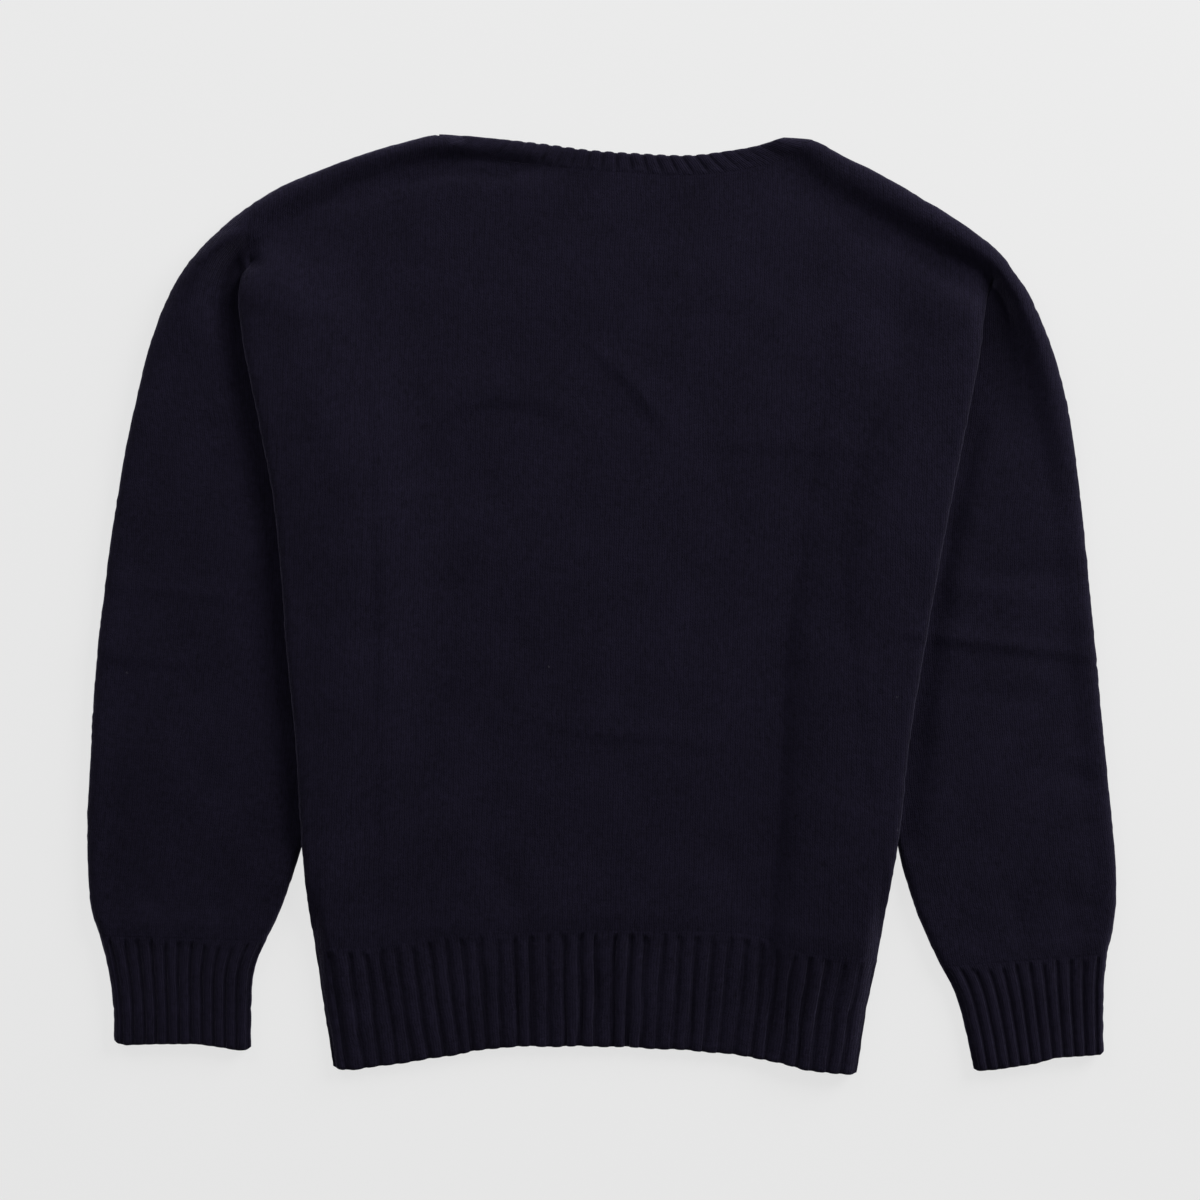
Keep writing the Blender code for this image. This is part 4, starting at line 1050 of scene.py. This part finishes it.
def tube(name, tab, rows, edges, turn, ribs=0, free_shape=None):
    """A flattened tube: its upper half runs from the outer edge inward, and
    its lower half back.  The first row tucks in under the next piece."""
    outer, inner = section_lines(tab, rows)
    width = np.linalg.norm(inner - outer, axis=1)
    middle = (outer + inner) / 2
    drop = lengths(middle)
    if ribs:
        near_edge = np.array([0.35, 1.0, 2.0]) / width.mean()
        f_up = (rib_columns(ribs, 0.15) - 0.15) / ribs
        f_up = np.unique(np.round(np.concatenate(
            (f_up, near_edge, 1 - near_edge)), 5))
        turns = 0.15 + ribs * np.concatenate((f_up, 1 + f_up[1:-1]))
        f = np.concatenate((f_up, 1 - f_up[1:-1]))
    else:
        f_up = graded(float(width.max()), 0.3, 2.6) / float(width.max())
        f = np.concatenate((f_up, f_up[1:-1][::-1]))
        turns = np.zeros(len(f))
    level = np.where(np.arange(len(f)) < len(f_up), 1.0, -1.0)
    n = len(f)
    plan = outer[:, None] + (inner - outer)[:, None] * f[None, :, None]
    shape = plan.shape[:2]
    if free_shape is not None:
        out = np.interp(f, free_shape[0], free_shape[1])
        down = (middle[-1] - middle[-4]) / np.linalg.norm(
            middle[-1] - middle[-4])
        reach = np.clip((drop - drop[-1] + 14) / 14, 0, 1) ** 2
        plan = plan + (reach[:, None] * out[None])[..., None] * down
    flat = plan.reshape(-1, 2)
    h = stack(flat, sleeve=True).reshape(shape)
    d = folds(flat, edges)
    c = crown(d, h.ravel()).reshape(shape)
    up = (level > 0)[None]
    painted_shade = np.zeros(shape)
    # painted shade at the underarm pits, on the upper ply only
    for x, y, rx, ry, share in zip(*(PAINTED_PIT_SHADE[c] for c in (
            "x", "y", "reach_x", "reach_y", "share"))):
        painted_shade += (share * up * np.exp(
            -((plan[..., 0] - x) / rx) ** 2 - ((plan[..., 1] - y) / ry) ** 2))
    if ribs:
        wave = rib_wave(turns)[None] * np.ones((len(rows), 1))
        rib = np.floor(turns)
        late = 0.2 + 1.8 * np.abs(tab_noise(rib + 7, 4))
        start = ease((drop[:, None] - late[None]) / 4.0)
        deep = (1 + 0.16 * noise(flat * (1, 0.5), 9, 3)).reshape(shape)
        amp = 1.05 * deep
        valley = (1 - wave) * start * amp * c
        lip = np.interp(drop, drop[-1] - np.array([2.2, 1.2, 0.4, 0.0]),
                        (0, 0.2, 0.7, 1.2))[:, None] * c
        z = h / 2 * (1 + c * level[None])
        z = np.where(up, z - valley - lip, z + valley * 0.85 + lip)
        # painted shade: the rib valleys are darkened in colour
        painted_shade = (1 - wave) ** 1.2 * start * deep * ease(c * 1.4)
    else:
        rise = np.minimum(under(flat).reshape(shape),
                          np.maximum(h - 2 * WALL - 0.2, 0))
        rise *= ease((d.reshape(shape) - 4) / 8)
        swell = 0.45 * np.exp(-((drop[-1] - drop - 8) / 7.0) ** 2)[:, None]
        z = h / 2 * (1 + c * level[None])
        z = np.where(up, z + swell * c, z + rise)
    # tuck: a row further back, inside the wall of the piece it meets
    back = plan[0] - (plan[1] - plan[0]) / np.maximum(
        np.linalg.norm(plan[1] - plan[0], axis=1), 1e-6)[:, None] * 0.9
    if not ribs:
        into = 1.1 + (0.8 if turn else 0.0) * np.exp(
            -(np.linalg.norm(plan[0] - inner[0], axis=1) / 2.6) ** 2)
        back = plan[0] + (1.0 if turn else -1.0) * (
            into[:, None] * np.array([1.0, 0.0]))
    back_z = z[0] - 0.4 * level * c[0]
    plan = ragged(plan, d)
    back = back + (plan[0] - flat[:n])
    plan = np.concatenate((back[None], plan), axis=0)
    z = np.concatenate((back_z[None], np.maximum(z, 0.0)), axis=0)
    painted_shade = np.concatenate((painted_shade[:1], painted_shade), axis=0)
    d = np.concatenate((d[:n], d))
    drop = np.concatenate(([drop[0] - 0.9], drop))
    grid = np.concatenate((plan, z[..., None]), axis=2)
    quads = grid_faces(len(drop), n, ring=True)
    if turn:
        quads = turned(quads)
    if ribs:
        u = (turns * 3.0 + 0.9)[None] * np.ones((len(drop), 1))
        u_end = np.full(len(drop), 3.0 * (0.15 + 2 * ribs) + 0.9)
        pitch_v = 2.2
    else:
        # wales run along the sleeve, counted from its middle
        ring = np.concatenate((grid, grid[:, :1]), axis=1)
        s = np.sqrt((np.diff(ring, axis=1) ** 2).sum(2))
        s = np.concatenate((np.zeros((len(drop), 1)), np.cumsum(s, axis=1)),
                           axis=1)
        mid = len(f_up) // 2
        s = (s - s[:, mid:mid + 1]) / WALE_SLEEVE
        u, u_end = s[:, :-1], s[:, -1]
        pitch_v = COURSE_SLEEVE
    v = (drop[:, None] / pitch_v) * np.ones((1, n))
    return make(name, grid.reshape(-1, 3), quads, u, -v, painted_shade,
                RIB if ribs else JERSEY, d,
                wall=1.8 if ribs else WALL, ring_u=(n, u_end))


def sleeve(name, tab, edges, turn):
    # close rows at the armhole, where the sections fan round the underarm
    count = len(tab["outer_x"]) - 1
    rows = np.concatenate((np.linspace(0, 5, 44, endpoint=False),
                           np.linspace(5, count, 142)))
    return tube(name, tab, rows / count, edges, turn)


def cuff(name, tab, edges, turn, free_shape):
    rows = np.concatenate((np.array([0, 0.01, 0.025, 0.045, 0.07]),
                           np.arange(0.1, 0.95, 0.035),
                           np.array([0.96, 0.975, 0.985, 0.993, 1.0])))
    return tube(name, tab, rows, edges, turn, ribs=12, free_shape=free_shape)


# ---- neckband
def neckband(name):
    """A ring of one ply: upper along the back, lower along the front."""
    back = (smooth(NECK_BACK_SEAM, step=2.0), smooth(NECK_BACK_FREE, step=2.0))
    front = (smooth(NECK_FRONT_SEAM, step=2.0),
             smooth(NECK_FRONT_FREE, step=2.0))
    across = np.array([-0.05, 0.0, 0.035, 0.08, 0.15, 0.25, 0.38, 0.52, 0.66,
                       0.78, 0.87, 0.94, 0.98, 1.0])
    wide = 13.0
    counts = (25, 31)
    a, b, level, phase = [], [], [], []
    for side, (seam, free), ribs in ((1.0, back, counts[0]),
                                     (-1.0, front, counts[1])):
        f = rib_columns(ribs, 0.0) / ribs
        extra = np.array([0.5, 1.2, 2.2, 3.4]) / lengths(free)[-1]
        f = np.unique(np.round(np.concatenate((f, extra, 1 - extra)), 5))
        turns = f * ribs
        if side < 0:
            f, turns = (1 - f)[1:-1], counts[0] + turns[1:-1]
        a.append(along(seam, f))
        b.append(along(free, f))
        level.append(np.full(len(f), side))
        phase.append(turns)
    a, b = np.concatenate(a), np.concatenate(b)
    level, phase = np.concatenate(level)[:, None], np.concatenate(phase)
    n, cols = len(phase), len(across)
    out = (b - a) / np.linalg.norm(b - a, axis=1)[:, None]
    plan = a[:, None] + (b - a)[:, None] * np.clip(
        across, 0, 1)[None, :, None]
    wave = rib_wave(phase)[:, None] * np.ones((1, cols))
    end = np.minimum(np.linalg.norm(b - b[0], axis=1),
                     np.linalg.norm(b - along(back[1], [1.0])[0], axis=1))
    clear = ease(end / 14.0)[:, None]
    # at the back the ribs are drawn flat but for the middle
    shown = np.where(level > 0, ease((b[:, :1] + 72) / 34)
                     * (1 - 0.8 * ease((b[:, :1] - 58) / 30)), 1.0)
    shown = (0.12 + 0.88 * shown) * clear
    tip = np.clip(across, 0, 1)[None] ** 6
    plan = plan + (out[:, None] * ((wave - 0.6) * 0.7 * tip * shown)[..., None])
    flat = plan.reshape(-1, 2)
    h = stack(flat)
    d = folds(flat, (EDGE_LEFT, EDGE_RIGHT))
    c = crown(d, h).reshape(wave.shape)
    h = h.reshape(wave.shape)
    run = np.clip(across, 0, 1)[None] * wide
    start = ease((run - 0.5) / 2.6)
    valley = (1 - wave) * start * np.where(level > 0, 0.45, 1.4) * shown
    lip = np.interp(across, (0.8, 0.9, 0.96, 1.0), (0, 0.2, 0.65, 1.3))[None]
    groove = 0.35 * np.exp(-((run - 0.2) / 1.0) ** 2) * shown
    z = h / 2 * (1 + level * c)
    z = np.where(level > 0, z - (valley + lip + groove) * c,
                 z + (valley * 0.85 + lip) * c)
    z[:, 0] -= 0.35 * level[:, 0] * c[:, 0]
    z = np.maximum(z, 0.0)
    plan[:, 0] -= out * 0.6
    grid = np.concatenate((plan, z[..., None]), axis=2)
    i, j = np.meshgrid(np.arange(n), np.arange(cols - 1), indexing="ij")
    k = (i + 1) % n
    quads = np.stack((i * cols + j, k * cols + j, k * cols + j + 1,
                      i * cols + j + 1), axis=-1).reshape(-1, 4)
    u = (phase * 3.0 + 0.9)[:, None] * np.ones((1, cols))
    v = np.clip(across, 0, 1)[None] * wide / 2.3 * np.ones((n, 1))
    # painted shade in the rib valleys and along the groove by the seam
    painted_shade = np.maximum((1 - wave) ** 1.2 * start,
                        0.4 * np.exp(-((run - 0.2) / 1.0) ** 2)) * shown * 0.7
    return make(name, grid.reshape(-1, 3), quads, u, v, painted_shade, RIB, d,
                wall=1.8)


CUFF_SHAPE_LEFT = ([0, 0.03, 0.09, 0.3, 0.6, 0.8, 0.9, 0.97, 1.0],
                   [-2.2, -0.5, 0.5, -0.9, -2.2, -0.4, 0.9, 0.3, -2.0])
CUFF_SHAPE_RIGHT = ([0, 0.03, 0.17, 0.37, 0.53, 0.83, 0.97, 1.0],
                    [-2.2, -0.3, -0.9, -2.1, 0.0, 0.5, -0.2, -2.0])

back = body_panel("back_panel", NECK_BACK_SEAM, True, 2.7)
front = body_panel("front_panel", NECK_FRONT_SEAM, False, 4.0)
hem_back = hem_rib("hem_rib_back", True)
hem_front = hem_rib("hem_rib_front", False)
left_sleeve = sleeve("sleeve_left", SLEEVE_LEFT, (EDGE_LEFT, INNER_LEFT), True)
right_sleeve = sleeve("sleeve_right", SLEEVE_RIGHT,
                      (EDGE_RIGHT, INNER_RIGHT), False)
left_cuff = cuff("cuff_rib_left", CUFF_LEFT, (EDGE_LEFT, INNER_LEFT), True,
                 CUFF_SHAPE_LEFT)
right_cuff = cuff("cuff_rib_right", CUFF_RIGHT, (EDGE_RIGHT, INNER_RIGHT),
                  False, CUFF_SHAPE_RIGHT)
band = neckband("neckband_rib")

# ---- stage: floor, lights, camera
floor_mesh = bpy.data.meshes.new("floor")
floor_mesh.from_pydata([(-6, -6, 0), (6, -6, 0), (6, 6, 0), (-6, 6, 0)], [],
                       [(0, 1, 2, 3)])
floor = bpy.data.objects.new("floor", floor_mesh)
floor.location.z = -0.0004
bpy.context.scene.collection.objects.link(floor)
floor_mat = bpy.data.materials.new("floor")
_, floor_shader = nodes_of(floor_mat)
floor_shader.inputs["Base Color"].default_value = (0.11, 0.11, 0.11, 1.0)
floor_shader.inputs["Emission Color"].default_value = (1.0, 1.0, 1.0, 1.0)
floor_shader.inputs["Emission Strength"].default_value = 0.718
floor_shader.inputs["Roughness"].default_value = 1.0
floor_shader.inputs["Specular IOR Level"].default_value = 0.0
floor.data.materials.append(floor_mat)

scene = bpy.context.scene
scene.view_settings.view_transform = "Standard"
world = bpy.data.worlds.new("studio")
scene.world = world
world.use_nodes = True
world.node_tree.nodes["Background"].inputs[0].default_value = (1, 1, 1, 1)
world.node_tree.nodes["Background"].inputs[1].default_value = 0.14


def softbox(name, share, azimuth, elevation, distance, width):
    """A round softbox aimed at the middle; azimuth is to the right of +Y.
    share is the radiance it gives a white floor at the middle."""
    up = math.radians(elevation)
    data = bpy.data.lights.new(name, "AREA")
    data.shape = "DISK"
    data.size = width
    data.energy = share * (math.pi * distance) ** 2 / math.sin(up)
    obj = bpy.data.objects.new(name, data)
    turn = math.radians(azimuth)
    obj.location = (distance * math.cos(up) * math.sin(turn),
                    distance * math.cos(up) * math.cos(turn),
                    distance * math.sin(up))
    obj.rotation_euler = (math.radians(90 - elevation), 0,
                          math.radians(180 - azimuth))
    scene.collection.objects.link(obj)
    return obj


softbox("window", 0.56, 50, 20, 2.9, 1.9)
softbox("window_left", 0.21, -36, 22, 2.4, 1.8)

cam = bpy.data.cameras.new("camera")
cam.type = "PERSP"
cam.lens = 85.0
cam.sensor_width = 36.0
cam.clip_end = 20.0
cam_obj = bpy.data.objects.new("camera", cam)
cam_obj.location = (-0.0013, 0.00325, 0.78 * 85.0 / 36.0 + 0.006)
cam_obj.rotation_euler = (0, 0, 0)
bpy.context.scene.collection.objects.link(cam_obj)
bpy.context.scene.camera = cam_obj
